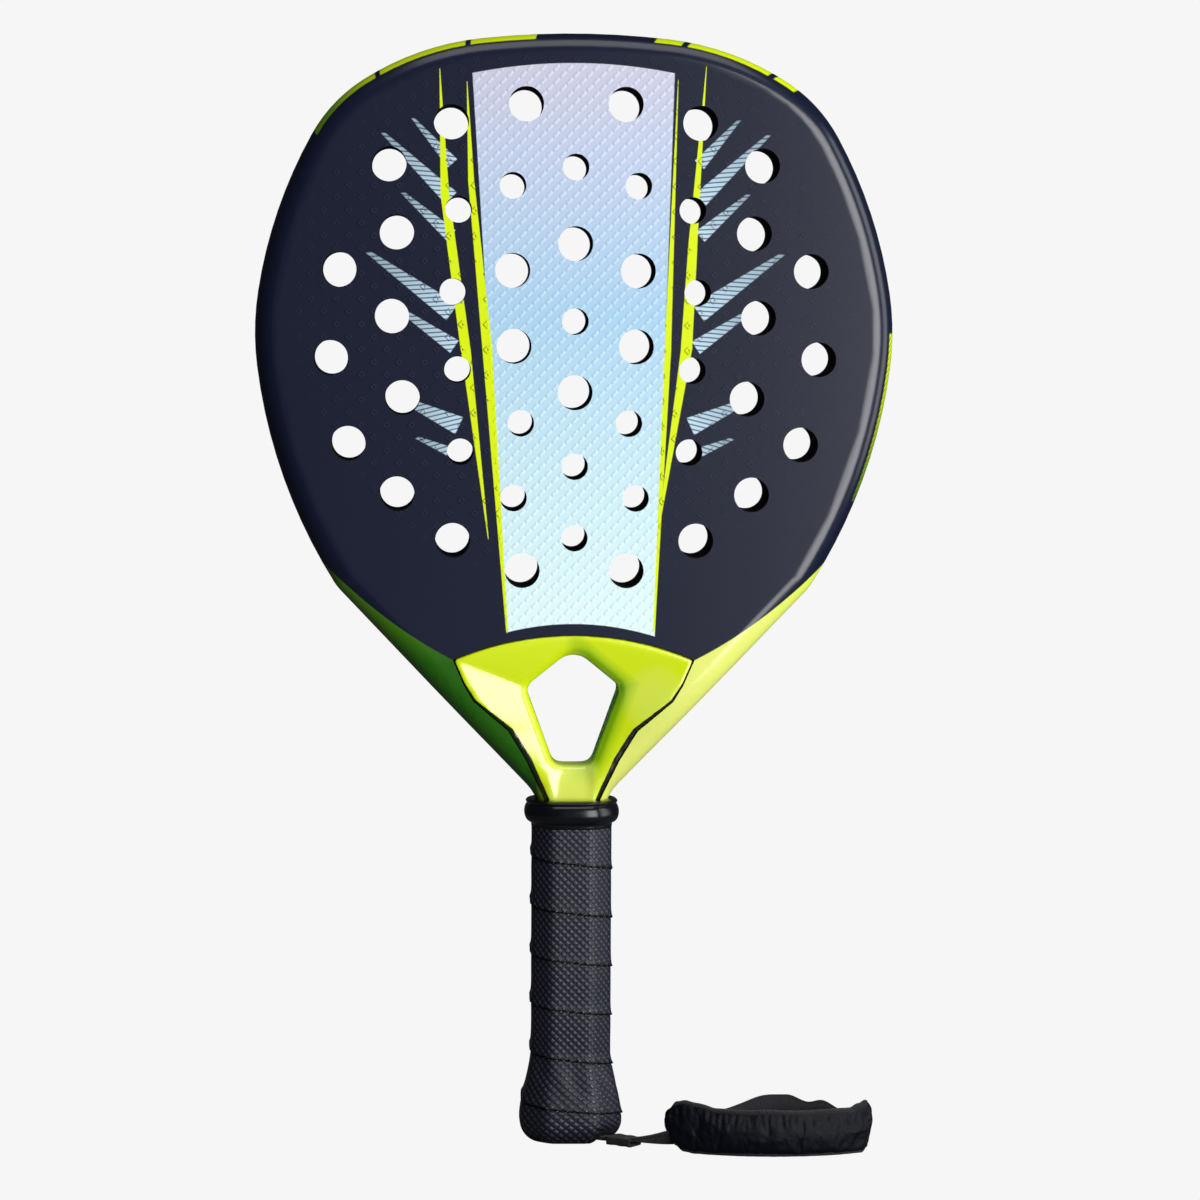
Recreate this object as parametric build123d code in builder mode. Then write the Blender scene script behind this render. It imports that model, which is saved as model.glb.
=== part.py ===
"""Padel racket with its wrist strap, as separate pieces at their real size.

Millimetres. +Z runs up the handle to the head, +X to the right, and the front face looks
towards -Y. The origin is at the centre of the butt's underside. The strap lies beside the
butt, on the surface that the butt stands on.
"""

from build123d import *
import os
from math import asin, cos, degrees, radians, sin, sqrt, tan

# ---------------------------------------------------------------- driving dimensions
racket_length = 455.0  # butt to the top of the head
head_width = 260.0
head_depth = 38.0  # over both faces
rim_width = 14.0  # the frame tube, seen from the front
rim_radius = 9.0  # rounding of the tube's outer shoulders
tube_wall = 1.6
hollow_bevel = 4.6  # corners of the tube's hollow, cut off to keep that wall under the rounding
skin = 1.0  # thickness of each hitting face
skin_lap = 4.0  # how far a face laps over the tube's inner edge
large_hole = 14.2  # hole diameters
small_hole = 10.8

# The head and throat keep one shape, so their places are in hundredths of the half width:
# across from the centre line, and down from the head's top or up from the neck.
throat_angle = 46.4  # slope of the throat's straight sides
neck_drop = 240.5  # top of the head to where those sides would meet the handle
corner_rise = 44.8  # neck to where the heart, the face and the tube meet
crown_rise = 52.7  # neck to the top of the heart's arch
neck_radius = 20.0
waist_rise = 2.0  # the racket is as thin as the handle up to this far over the neck
parting_gap = 0.3  # open joint round the heart
opening_bevel = 2.6  # round the throat opening's edges
scoop_width = 16.5  # thumb scoop under the opening, on both sides
scoop_drop = 6.0  # opening's foot to the middle of the scoop's round end
scoop_floor = 11.0  # distance of its floor from the middle plane

# Right side of the head, from its top round to the throat's bevel: radius and turn of each arc.
head_arcs = [(263, 6.4), (86, 26.3), (47.7, 28.3), (146, 20.3), (84.6, 15.8), (165.5, 25.0)]

# Holes by column, outwards from the centre line: across, and down from the top.
large_holes = [
    (0, 65.5), (0, 111.9),
    (15.5, 22.2), (19.6, 73.9), (19.1, 97.5), (16.3, 167.6),
    (38.8, 27.9), (38.1, 158.2),
    (58.2, 41.0), (55.8, 62.1), (57.3, 88.4), (53.9, 113.7), (55.5, 143.7),
    (73.7, 73.8), (76.3, 101.3), (70.8, 128.0),
]  # fmt: skip
small_holes = [
    (0, 41.7), (0, 89.7), (0, 135.0), (0, 157.4),
    (19.6, 47.5), (16.9, 121.5), (19.1, 144.9),
    (36.5, 55.0), (38.2, 80.6), (36.7, 104.9), (35.8, 130.5),
]  # fmt: skip

# Right side of the heart as it steps away from the legs: in and down from its corner.
heart_steps = [(3.5, 8.1), (6.5, 13.2), (17.5, 22.7), (23.2, 32.2)]
tongue_step = 1.7  # at the neck the heart is this much narrower on each side than the handle
tongue_taper = 14.0  # neck to where the heart's tongue is as narrow as the gap between the legs

# Corners of the throat opening on its right side, across and up from the neck, and their radii.
opening_corners = [(0, 48.2), (15, 35.9), (5.8, 10.9)]
opening_radii = [6.9, 3.8, 3.1]

core_width = 26.4  # the two tube legs in the handle, side by side
core_depth = 24.0
leg_width = 8.2
tongue_reach = 18.4  # how far the heart's tongue goes down into the grip
sleeve_wall = 1.2  # damping sleeve round the handle
sleeve_corner = 6.4  # corners cut off to make it eight-sided
grip_wall = 2.0
grip_drop = 11.9  # the wrap ends this far under the neck
grip_edge = 0.4  # the wrap stops this far above the underside
ring_height = 13.8
ring_wall = 0.3  # how far the ring's lower band stands outside the grip
bead_size = 2.6  # how far the ring's bead stands out from that band
bead_start = 3.6  # height of the bead's lower edge over the grip
bead_height = 8.4
lip_size = 1.3  # how far the ring's upper lip stands out from the band
tape_height = 3.8  # finishing tape, under the ring

flare_growth = 4.7  # how far the grip's flare stands out on each side
flare_height = 9.0  # height of its widest place
flare_top = 38.0
butt_rounding = 6.6  # how far the underside's edge is drawn in
cap_floor = 3.0
dish_depth = 4.2  # hollow in the cap's underside that the strap leaves through
dish_radius = 9.5
cap_skirt = 0.6  # wall at the cap's upper edge
staple_height = 20.0
staple_wire = 1.0
staple_crown = 9.0
staple_leg = 6.5
staple_play = 0.6  # room round each staple's crown in the cap's side

webbing_width = 7.0
webbing_wall = 1.6
webbing_play = 0.7  # clearance round the webbing in the butt's slot and notch
strap_angle = -38.8  # direction in which the strap leaves, seen from above
strap_height = 2.35  # middle of the webbing above the surface
strap_turn = 41.0  # distance from the butt's axis at which the strap turns up to the pad
strap_rise = 5.0  # how far it climbs to the pad
strap_inlet = 1.5  # length sewn into the pad's end
root_bend = 1.9  # radius of the webbing's turn under the cap
knot_width = 9.0  # end of the webbing folded over inside the handle
knot_depth = 6.0
knot_height = 7.0
keeper_start = 21.8  # distance of the keeper from the butt's axis, just clear of the grip
keeper_length = 11.6
keeper_wall = 0.9
keeper_play = 0.35
keeper_travel = 3.5  # how far it slides along the strap's straight stretch

cuff_across = 82.7  # middle of the wrist pad from the butt's axis, to the right
cuff_forward = 41.2  # and to the front
cuff_span = 79.5  # end to end
cuff_bow = 10.7
cuff_height = 21.0
cuff_foam_wall = 4.6
cuff_cloth = 0.8
cuff_lift = 0.3
binding_size = 3.2  # tape folded over the pad's two long edges
binding_rise = 1.0  # how far it stands over them
band_trim = 2.7  # the woven band behind the wrist stops this far inside the pad's ends
band_step = 1.25  # its ends sit this far behind the middle of the pad's ends
band_bow = 14.6
band_skew = 3.3  # its farthest place is this far right of the pad's middle
band_wall = 1.6
band_drop = 0.7  # the woven band is this much lower than the pad

# ---------------------------------------------------------------- sizes worked out from them
half_width = head_width / 2
half_depth = head_depth / 2
leg_foot = dish_depth + cap_floor
sleeve_width = core_width + 2 * sleeve_wall
sleeve_depth = core_depth + 2 * sleeve_wall

# The arcs are drawn at the size that brings their widest place to the half width.
reach = 0.0
heading = 0.0
for radius, turn in head_arcs:
    next_heading = min(heading + turn, 90)
    reach += radius * (sin(radians(next_heading)) - sin(radians(heading)))
    heading = next_heading
unit = half_width / reach

neck_x = core_width / 2
neck_height = racket_length - neck_drop * half_width / 100
corner_height = neck_height + corner_rise * half_width / 100
crown_height = neck_height + crown_rise * half_width / 100
grip_top = neck_height - grip_drop
tongue_foot = grip_top - tongue_reach
waist_height = neck_height + waist_rise
bevel_turn = 180 - throat_angle - sum(turn for radius, turn in head_arcs)
throat_slope = tan(radians(throat_angle))
corner_x = neck_x + (corner_height - neck_height) / throat_slope - rim_width / sin(radians(throat_angle))


def in_head(across, down):
    """A place in the head, from hundredths of the half width across and down from the top."""
    return across * half_width / 100, racket_length - down * half_width / 100


def in_throat(across, up):
    """A place in the throat, from hundredths of the half width across and up from the neck."""
    return across * half_width / 100, neck_height + up * half_width / 100


heart_side = [(corner_x, corner_height)]
for inward, down in heart_steps:
    step_x = corner_x - inward * half_width / 100
    heart_side.append((step_x, corner_height - down * half_width / 100))
heart_side.append((neck_x - tongue_step, neck_height))
heart_side.append((neck_x - leg_width, neck_height - tongue_taper))
heart_side.append((neck_x - leg_width, tongue_foot))

cuff_wall = cuff_foam_wall + 2 * cuff_cloth
cuff_radius = ((cuff_span / 2) ** 2 + cuff_bow**2) / (2 * cuff_bow)
cuff_half_turn = degrees(asin(cuff_span / 2 / cuff_radius))
cuff_centre = Vector(cuff_across, cuff_radius - cuff_forward)
cuff_bottom = cuff_lift + binding_rise
cuff_top = cuff_lift + cuff_height - binding_rise
band_half = cuff_span / 2 - band_trim
band_line = cuff_bow - cuff_forward + band_step
band_start = (cuff_across - band_half, band_line)
band_back = (cuff_across + band_skew, band_line + band_bow)
band_end = (cuff_across + band_half, band_line)
strap_way = Vector(cos(radians(strap_angle)), sin(radians(strap_angle)), 0)
strap_level = Vector(0, 0, strap_height)
inlet_angle = radians(270 - cuff_half_turn) + strap_inlet / cuff_radius
inlet = cuff_centre + Vector(cos(inlet_angle), sin(inlet_angle)) * cuff_radius
strap_start = dish_radius + 2
strap_route = [
    strap_way * strap_start + strap_level,
    strap_way * strap_turn + strap_level,
    Vector(inlet.X, inlet.Y, strap_height + strap_rise),
]


def mirrored(points):
    """The same points on the other side of the centre line, in reverse order."""
    return [(-x, z) for x, z in reversed(points) if x]


# ---------------------------------------------------------------- outlines and shared forms
def head_side(inset=0.0):
    """Draws the head's right side from the top to the bevel, and returns its last arc."""
    place, way = (0, racket_length - inset), (1, 0)
    for radius, turn in head_arcs:
        arc = JernArc(place, way, radius * unit - inset, -turn)
        place, way = arc @ 1, arc % 1
    return arc


# The bevel is the arc that runs from the head into the throat's straight side.
with BuildLine():
    last_arc = head_side()
up_throat = Vector(1, throat_slope).normalized()
to_throat = Vector(neck_x, neck_height) - last_arc @ 1
bevel_tangent = to_throat.cross(up_throat).Z / (last_arc % 1).cross(up_throat).Z
bevel_radius = bevel_tangent / tan(radians(bevel_turn) / 2)


def draw_side(inset):
    """Draws the head's right side with its bevel, and returns the bevel's lower end."""
    arc = head_side(inset)
    bevel = JernArc(arc @ 1, arc % 1, bevel_radius - inset, -bevel_turn)
    return bevel @ 1


def outline_sketch(inset=0.0):
    """The racket from the front, down to the legs' feet, or the same outline drawn in."""
    with BuildSketch(Plane.XZ) as outline:
        with BuildLine():
            end = draw_side(inset)
            side = neck_x - inset
            turn = end.Y - throat_slope * (end.X - side)
            foot = leg_foot + inset
            FilletPolyline(end, (side, turn), (side, foot), radius=neck_radius + inset)
            Line((side, foot), (0, foot))
            mirror(about=Plane.YZ)
        make_face()
    return outline.sketch


def ease(start, end):
    """Draws two tangent arcs that carry one upright line over into another."""
    middle = ((start[0] + end[0]) / 2, (start[1] + end[1]) / 2)
    first = TangentArc(start, middle, tangent=(0, end[1] - start[1]))
    TangentArc(middle, end, tangent=first % 1)


def racket_body(inset=0.0):
    """The racket as one rounded block, thinner at the handle, or that block less a wall."""
    deep = half_depth - inset
    shallow = core_depth / 2 - inset
    with BuildPart() as body:
        add(through(outline_sketch(inset)))
        with BuildSketch(Plane.YZ.offset(-head_width)):
            with BuildLine():
                Polyline((0, racket_length), (deep, racket_length), (deep, corner_height))
                ease((deep, corner_height), (shallow, waist_height))
                Polyline((shallow, waist_height), (shallow, 0), (0, 0))
                mirror(about=Plane.YZ)
            make_face()
        extrude(amount=2 * head_width, mode=Mode.INTERSECT)
        off_middle = body.edges().filter_by(lambda e: abs(e.center().Y) > shallow / 2)
        across_depth = off_middle.filter_by(Axis.Y)
        across_width = off_middle.filter_by(Axis.X)
        shoulders = off_middle - across_depth - across_width
        if inset:
            chamfer(shoulders, hollow_bevel)
        else:
            fillet(shoulders, rim_radius)
    return body.part


def above_arch_sketch():
    """Everything over the heart's top edge."""
    with BuildSketch(Plane.XZ) as region:
        with BuildLine():
            left, right = (-corner_x, corner_height), (corner_x, corner_height)
            ThreePointArc(left, (0, crown_height), right)
            Polyline(
                right,
                (head_width, corner_height),
                (head_width, 2 * racket_length),
                (-head_width, 2 * racket_length),
                (-head_width, corner_height),
                left,
            )
        make_face()
    return region.sketch


def panel_sketch(inset):
    """The hitting panel, a stated distance inside the racket's outline."""
    with BuildSketch(Plane.XZ) as panel:
        with BuildLine():
            end = draw_side(inset)
            low = corner_height - rim_width
            foot = end.X - (end.Y - low) / throat_slope
            Polyline(end, (foot, low), (0, low))
            mirror(about=Plane.YZ)
        make_face()
        add(above_arch_sketch(), mode=Mode.INTERSECT)
    return panel.sketch


def heart_sketch(inset=0.0):
    """The heart from the front, with its tongue down into the handle."""
    with BuildSketch(Plane.XZ) as heart:
        with BuildLine():
            ThreePointArc((-corner_x, corner_height), (0, crown_height), heart_side[0])
            Polyline(*heart_side, *mirrored(heart_side))
        make_face()
        if inset:
            offset(amount=-inset, kind=Kind.INTERSECTION, mode=Mode.REPLACE)
    return heart.sketch


def opening_sketch():
    """The five-sided opening in the throat."""
    corners = [in_throat(*corner) for corner in opening_corners]
    with BuildSketch(Plane.XZ) as opening:
        with BuildLine():
            Polyline(*corners, *mirrored(corners), close=True)
        make_face()
        for corner, radius in zip(corners, opening_radii):
            level = corner[1]
            there = opening.vertices().filter_by(lambda v: abs(v.Y - level) < 0.01)
            fillet(there, radius * half_width / 100)
    return opening.sketch


def hole_sketch():
    """All the holes of the hitting panel."""
    with BuildSketch(Plane.XZ) as holes:
        for places, size in ((large_holes, large_hole), (small_holes, small_hole)):
            points = [in_head(*place) for place in places]
            with Locations(*points, *mirrored(points)):
                Circle(size / 2)
    return holes.sketch


def through(sketch):
    """A sketch of the front view, as a solid that passes right through the racket."""
    return slab(sketch, -head_depth, head_depth)


def slab(sketch, near, far):
    """A sketch of the front view, as a solid between two distances from the middle plane."""
    face = sketch.moved(Location((0, near, 0)))
    return extrude(face, amount=far - near, dir=(0, 1, 0), mode=Mode.PRIVATE)


def octagon(height, grow=0.0):
    """The handle's eight-sided section at a height, a wall's thickness outside the sleeve."""
    with BuildSketch(Plane.XY.offset(height)) as section:
        Rectangle(sleeve_width + 2 * grow, sleeve_depth + 2 * grow)
        chamfer(section.vertices(), sleeve_corner + (2 - sqrt(2)) * grow)
    return section.sketch


# Pairs of opposite sides of the handle: the sleeve's face from the axis, and its direction.
slant = (sleeve_width / 2 + sleeve_depth / 2 - sleeve_corner) / sqrt(2)
side_pairs = [(sleeve_width / 2, 0), (slant, 45), (sleeve_depth / 2, 90), (slant, 135)]


def eight_sided(profile, wall):
    """What four crossed slabs share, each with the profile of one pair of sides."""
    with BuildPart() as form:
        Box(head_width, head_width, 2 * racket_length)
        for half, turn in side_pairs:
            pair = extrude(profile(half + wall), amount=head_width, both=True, mode=Mode.PRIVATE)
            add(pair.rotate(Axis.Z, turn), mode=Mode.INTERSECT)
    return form.part


def grip_side(half):
    """The handle from the side, with the butt's flare and its rounded underside."""
    widest = half + flare_growth
    with BuildSketch(Plane.XZ) as profile:
        with BuildLine():
            Polyline((0, grip_top), (half, grip_top), (half, flare_top))
            ease((half, flare_top), (widest, flare_height))
            underside = (widest - butt_rounding, 0)
            TangentArc((widest, flare_height), underside, tangent=(0, -1))
            Line(underside, (0, 0))
            mirror(about=Plane.YZ)
        make_face()
    return profile.sketch


def handle_form(wall, bottom, top):
    """The handle's outside over the butt's flare, a wall's thickness outside the sleeve."""
    with BuildPart() as form:
        add(eight_sided(grip_side, wall))
        split(bisect_by=Plane.XY.offset(bottom), keep=Keep.TOP)
        split(bisect_by=Plane.XY.offset(top), keep=Keep.BOTTOM)
    return form.part


def ring_side(half):
    """The collar ring from the side: a plain band, a bead and a lip."""
    bead_foot = grip_top + bead_start
    bead_head = bead_foot + bead_height
    with BuildSketch(Plane.XZ) as profile:
        with BuildLine():
            Polyline((0, grip_top), (half, grip_top), (half, bead_foot))
            outermost = (half + bead_size, (bead_foot + bead_head) / 2)
            ThreePointArc((half, bead_foot), outermost, (half, bead_head))
            Polyline(
                (half, bead_head),
                (half + lip_size, bead_head),
                (half + lip_size, grip_top + ring_height),
                (0, grip_top + ring_height),
            )
            mirror(about=Plane.YZ)
        make_face()
    return profile.sketch


def across_strap(distance, height=strap_height):
    """A plane across the strap, a distance from the butt's axis, with its x level."""
    return Plane(
        origin=strap_way * distance + Vector(0, 0, height),
        x_dir=strap_way.cross(Vector(0, 0, 1)),
        z_dir=strap_way,
    )


def strap_tunnel(play, start, end):
    """A straight block along the strap, a stated play larger than the webbing all round."""
    with BuildSketch(across_strap(start)) as section:
        Rectangle(webbing_width + 2 * play, webbing_wall + 2 * play)
    return extrude(section.sketch, amount=end - start, mode=Mode.PRIVATE)


def along_strap(edge):
    """Whether an edge runs the way the strap does."""
    return abs(edge.tangent_at(0.5).dot(strap_way)) > 0.99


def cuff_sector(inner, outer, low, high, trim=0.0):
    """A stretch of the pad between two distances from its middle curve, ends trimmed in mm."""
    half_turn = cuff_half_turn - degrees(trim / cuff_radius)
    with BuildPart() as sector:
        with BuildSketch(Plane.XY.offset(low)):
            with BuildLine():
                far_arc = CenterArc(
                    cuff_centre, cuff_radius + outer, 270 - half_turn, 2 * half_turn
                )
                near_arc = CenterArc(
                    cuff_centre, cuff_radius + inner, 270 - half_turn, 2 * half_turn
                )
                Line(far_arc @ 0, near_arc @ 0)
                Line(far_arc @ 1, near_arc @ 1)
            make_face()
        extrude(amount=high - low)
    return sector.part


os.makedirs("parts", exist_ok=True)
block = racket_body()

# ---------------------------------------------------------------- head
with BuildSketch(Plane.XZ) as leg_gap:
    with Locations((0, (leg_foot + tongue_foot) / 2)):
        Rectangle(core_width - 2 * leg_width, tongue_foot - leg_foot)

with BuildPart() as tube_hollow:
    add(racket_body(tube_wall))
    add(through(panel_sketch(rim_width - tube_wall)), mode=Mode.SUBTRACT)
    add(through(heart_sketch(-tube_wall)), mode=Mode.SUBTRACT)
    walled_gap = offset(leg_gap.sketch, tube_wall, kind=Kind.INTERSECTION, mode=Mode.PRIVATE)
    add(through(walled_gap), mode=Mode.SUBTRACT)

with BuildPart() as frame_tube:
    add(block)
    add(through(panel_sketch(rim_width)), mode=Mode.SUBTRACT)
    add(through(heart_sketch()), mode=Mode.SUBTRACT)
    add(through(leg_gap.sketch), mode=Mode.SUBTRACT)
    add(tube_hollow.part, mode=Mode.SUBTRACT)
    rebate = panel_sketch(rim_width - skin_lap)
    add(slab(rebate, half_depth - skin, half_depth), mode=Mode.SUBTRACT)
    add(slab(rebate, -half_depth, skin - half_depth), mode=Mode.SUBTRACT)
frame_tube.part.label = "frame_tube"
export_step(frame_tube.part, "parts/frame_tube.step")

holes = through(hole_sketch())

with BuildPart() as foam_core:
    add(slab(panel_sketch(rim_width), skin - half_depth, half_depth - skin))
    add(holes, mode=Mode.SUBTRACT)
foam_core.part.label = "foam_core"
export_step(foam_core.part, "parts/foam_core.step")

with BuildPart() as front_face:
    add(slab(panel_sketch(rim_width - skin_lap), -half_depth, skin - half_depth))
    add(holes, mode=Mode.SUBTRACT)
front_face.part.label = "front_face"
export_step(front_face.part, "parts/front_face.step")

with BuildPart() as rear_face:
    add(slab(panel_sketch(rim_width - skin_lap), half_depth - skin, half_depth))
    add(holes, mode=Mode.SUBTRACT)
rear_face.part.label = "rear_face"
export_step(rear_face.part, "parts/rear_face.step")

# ---------------------------------------------------------------- throat
opening_top, opening_shoulder, opening_foot = [in_throat(*corner) for corner in opening_corners]
scoop_height = opening_foot[1] - scoop_drop
with BuildSketch(Plane.XZ) as scoop:
    with Locations((0, scoop_height)):
        Circle(scoop_width / 2)
    with Locations((0, scoop_height - scoop_width)):
        Rectangle(scoop_width, 2 * scoop_width)

with BuildPart() as heart_bridge:
    add(block)
    add(through(heart_sketch(parting_gap)), mode=Mode.INTERSECT)
    add(through(opening_sketch()), mode=Mode.SUBTRACT)
    rims = heart_bridge.edges().filter_by(lambda e: abs(e.center().Y) > half_depth / 2)
    rims = rims.filter_by(lambda e: max(abs((e @ t).X) for t in (0, 0.5, 1)) < opening_shoulder[0])
    rims = rims.filter_by(lambda e: opening_foot[1] - 1 < e.center().Z < opening_top[1])
    chamfer(rims, opening_bevel)
    add(slab(scoop.sketch, scoop_floor, head_depth), mode=Mode.SUBTRACT)
    add(slab(scoop.sketch, -head_depth, -scoop_floor), mode=Mode.SUBTRACT)
heart_bridge.part.label = "heart_bridge"
export_step(heart_bridge.part, "parts/heart_bridge.step")

# ---------------------------------------------------------------- handle
with BuildPart() as handle_core:
    add(block)
    add(through(leg_gap.sketch), mode=Mode.INTERSECT)
    with Locations((0, 0, leg_foot + knot_height / 2)):
        Box(knot_width, knot_depth, knot_height, mode=Mode.SUBTRACT)
handle_core.part.label = "handle_core"
export_step(handle_core.part, "parts/handle_core.step")

with BuildPart() as damping_sleeve:
    add(extrude(octagon(leg_foot), amount=grip_top - leg_foot, mode=Mode.PRIVATE))
    add(block, mode=Mode.SUBTRACT)
    add(handle_core.part, mode=Mode.SUBTRACT)
    with Locations((0, 0, leg_foot + knot_height / 2)):
        Box(knot_width, knot_depth, knot_height, mode=Mode.SUBTRACT)
damping_sleeve.part.label = "damping_sleeve"
export_step(damping_sleeve.part, "parts/damping_sleeve.step")

# The strap leaves the butt through a slot in the cap's floor and a notch in its rim.
with BuildSketch(across_strap(0, 0)) as notch:
    Rectangle(webbing_width + 2 * webbing_play, 2 * strap_height + webbing_wall + 2 * webbing_play)
rim_notch = extrude(notch.sketch, amount=2 * sleeve_width, mode=Mode.PRIVATE)
staple_side = sleeve_width / 2 + cap_skirt
staple_recess = staple_wire + 2 * staple_play

with BuildPart() as butt_cap:
    add(handle_form(cap_skirt, 0, flare_top))
    add(extrude(octagon(leg_foot), amount=racket_length, mode=Mode.PRIVATE), mode=Mode.SUBTRACT)
    Cylinder(dish_radius, 2 * dish_depth, mode=Mode.SUBTRACT)
    with BuildSketch(Plane(origin=(0, 0, 0), x_dir=strap_way, z_dir=(0, 0, 1))):
        Rectangle(webbing_wall + 2 * webbing_play, webbing_width + 2 * webbing_play)
    extrude(amount=leg_foot, mode=Mode.SUBTRACT)
    add(rim_notch, mode=Mode.SUBTRACT)
    for side in (-1, 1):
        with Locations((side * (staple_side + sleeve_width / 2), 0, staple_height)):
            Box(sleeve_width, staple_recess, staple_crown + 2 * staple_play, mode=Mode.SUBTRACT)
butt_cap.part.label = "butt_cap"
export_step(butt_cap.part, "parts/butt_cap.step")

with BuildPart() as cap_staples:
    for side in (-1, 1):
        crown = side * (staple_side + staple_wire / 2)
        with Locations((crown, 0, staple_height)):
            Box(staple_wire, staple_wire, staple_crown)
        for end in (-1, 1):
            reach = crown - side * staple_leg / 2
            with Locations((reach, 0, staple_height + end * (staple_crown - staple_wire) / 2)):
                Box(staple_leg, staple_wire, staple_wire)
cap_staples.part.label = "cap_staples"
export_step(cap_staples.part, "parts/cap_staples.step")

with BuildPart() as grip_wrap:
    add(handle_form(grip_wall, grip_edge, grip_top))
    add(extrude(octagon(0), amount=racket_length, mode=Mode.PRIVATE), mode=Mode.SUBTRACT)
    add(handle_form(cap_skirt, 0, flare_top), mode=Mode.SUBTRACT)
    add(rim_notch, mode=Mode.SUBTRACT)
grip_wrap.part.label = "grip_wrap"
export_step(grip_wrap.part, "parts/grip_wrap.step")

with BuildPart() as finishing_tape:
    add(extrude(octagon(grip_top), amount=tape_height, mode=Mode.PRIVATE))
    add(block, mode=Mode.SUBTRACT)
finishing_tape.part.label = "finishing_tape"
export_step(finishing_tape.part, "parts/finishing_tape.step")

with BuildPart() as collar_ring:
    add(eight_sided(ring_side, grip_wall + ring_wall))
    add(block, mode=Mode.SUBTRACT)
    add(finishing_tape.part, mode=Mode.SUBTRACT)
collar_ring.part.label = "collar_ring"
export_step(collar_ring.part, "parts/collar_ring.step")

# ---------------------------------------------------------------- wrist strap
with BuildPart() as strap_root:
    with BuildLine() as root_path:
        FilletPolyline(
            (0, 0, leg_foot),
            (0, 0, strap_height),
            strap_route[0],
            radius=root_bend,
        )
    with BuildSketch(Plane(origin=(0, 0, leg_foot), x_dir=strap_way, z_dir=(0, 0, -1))):
        Rectangle(webbing_wall, webbing_width)
    sweep()
    with Locations((0, 0, leg_foot + knot_height / 2)):
        Box(knot_width, knot_depth, knot_height)
strap_root.part.label = "strap_root"
export_step(strap_root.part, "parts/strap_root.step")

with BuildPart() as strap_tail:
    with BuildLine() as tail_path:
        runs = [strap_route[1] - strap_route[0], strap_route[2] - strap_route[1]]
        turn = radians(runs[0].get_angle(runs[1]))
        bend = 0.45 * min(run.length for run in runs) / tan(turn / 2)
        tail = FilletPolyline(*strap_route, radius=bend)
    # Flat as far as the keeper slides, then turning onto its edge before it enters the pad.
    flat_length = keeper_start + keeper_length + keeper_travel + 1 - strap_start
    twist_length = tail.length - strap_inlet - flat_length
    rolls = [(0, 0), (tail.length, 90)]
    rolls[1:1] = [(flat_length + twist_length * roll / 90, roll) for roll in (0, 30, 60, 90)]
    for distance, roll in rolls:
        share = distance / tail.length
        heading = tail % share
        level = heading.cross(Vector(0, 0, 1))
        with BuildSketch(Plane(origin=tail @ share, x_dir=level, z_dir=heading)):
            Rectangle(webbing_width, webbing_wall, rotation=roll)
    loft(ruled=True)
strap_tail.part.label = "strap_tail"
export_step(strap_tail.part, "parts/strap_tail.step")
print(f"strap bend radius {bend:.1f}, length {tail.length:.1f}")

with BuildPart() as strap_keeper:
    keeper_end = keeper_start + keeper_length
    add(strap_tunnel(keeper_play + keeper_wall, keeper_start, keeper_end))
    fillet(strap_keeper.edges().filter_by(along_strap), keeper_wall)
    add(strap_tunnel(keeper_play, keeper_start, keeper_end), mode=Mode.SUBTRACT)
strap_keeper.part.label = "strap_keeper"
export_step(strap_keeper.part, "parts/strap_keeper.step")

foam_side = cuff_foam_wall / 2
foam_bottom, foam_top = cuff_bottom + cuff_cloth, cuff_top - cuff_cloth
with BuildPart() as cuff_foam:
    add(cuff_sector(-foam_side, foam_side, foam_bottom, foam_top, cuff_cloth))
    add(strap_tail.part, mode=Mode.SUBTRACT)
cuff_foam.part.label = "cuff_foam"
export_step(cuff_foam.part, "parts/cuff_foam.step")

with BuildPart() as cuff_cover:
    add(cuff_sector(-foam_side, foam_side + cuff_cloth, cuff_bottom, cuff_top))
    add(cuff_foam.part, mode=Mode.SUBTRACT)
    add(strap_tail.part, mode=Mode.SUBTRACT)
cuff_cover.part.label = "cuff_cover"
export_step(cuff_cover.part, "parts/cuff_cover.step")

with BuildPart() as cuff_lining:
    add(cuff_sector(-foam_side - cuff_cloth, -foam_side, cuff_bottom, cuff_top))
cuff_lining.part.label = "cuff_lining"
export_step(cuff_lining.part, "parts/cuff_lining.step")

with BuildPart() as cuff_binding:
    first_end = Vector(0, -1, 0).rotate(Axis.Z, -cuff_half_turn)
    for height, turn in ((cuff_bottom, 180), (cuff_top, 0)):
        edge = cuff_centre + first_end * cuff_radius + Vector(0, 0, height)
        across = Plane(origin=edge, x_dir=first_end, z_dir=first_end.cross(Vector(0, 0, 1)))
        with BuildSketch(across):
            upward = (Align.CENTER, Align.MIN)
            Trapezoid(binding_size, binding_rise, 60, rotation=turn, align=upward)
        revolve(axis=Axis(cuff_centre, (0, 0, 1)), revolution_arc=2 * cuff_half_turn)
cuff_binding.part.label = "cuff_binding"
export_step(cuff_binding.part, "parts/cuff_binding.step")

with BuildPart() as cuff_band:
    with BuildSketch(Plane.XY.offset(cuff_bottom)):
        with BuildLine():
            ThreePointArc(band_start, band_back, band_end)
        trace(line_width=band_wall)
    extrude(amount=cuff_top - cuff_bottom - band_drop)
    add(cuff_sector(-cuff_wall / 2, 2 * cuff_wall, 0, racket_length, -cuff_wall), mode=Mode.SUBTRACT)
cuff_band.part.label = "cuff_band"
export_step(cuff_band.part, "parts/cuff_band.step")
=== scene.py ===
"""Finish of a padel racket with its wrist strap, around the racket's own solids.

The file is laid out as an add-on and is run as a script. Shapes are worked out in millimetres
in the racket's own frame: Z runs up the handle, X to the right, and the front looks along -Y.
"""

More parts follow.
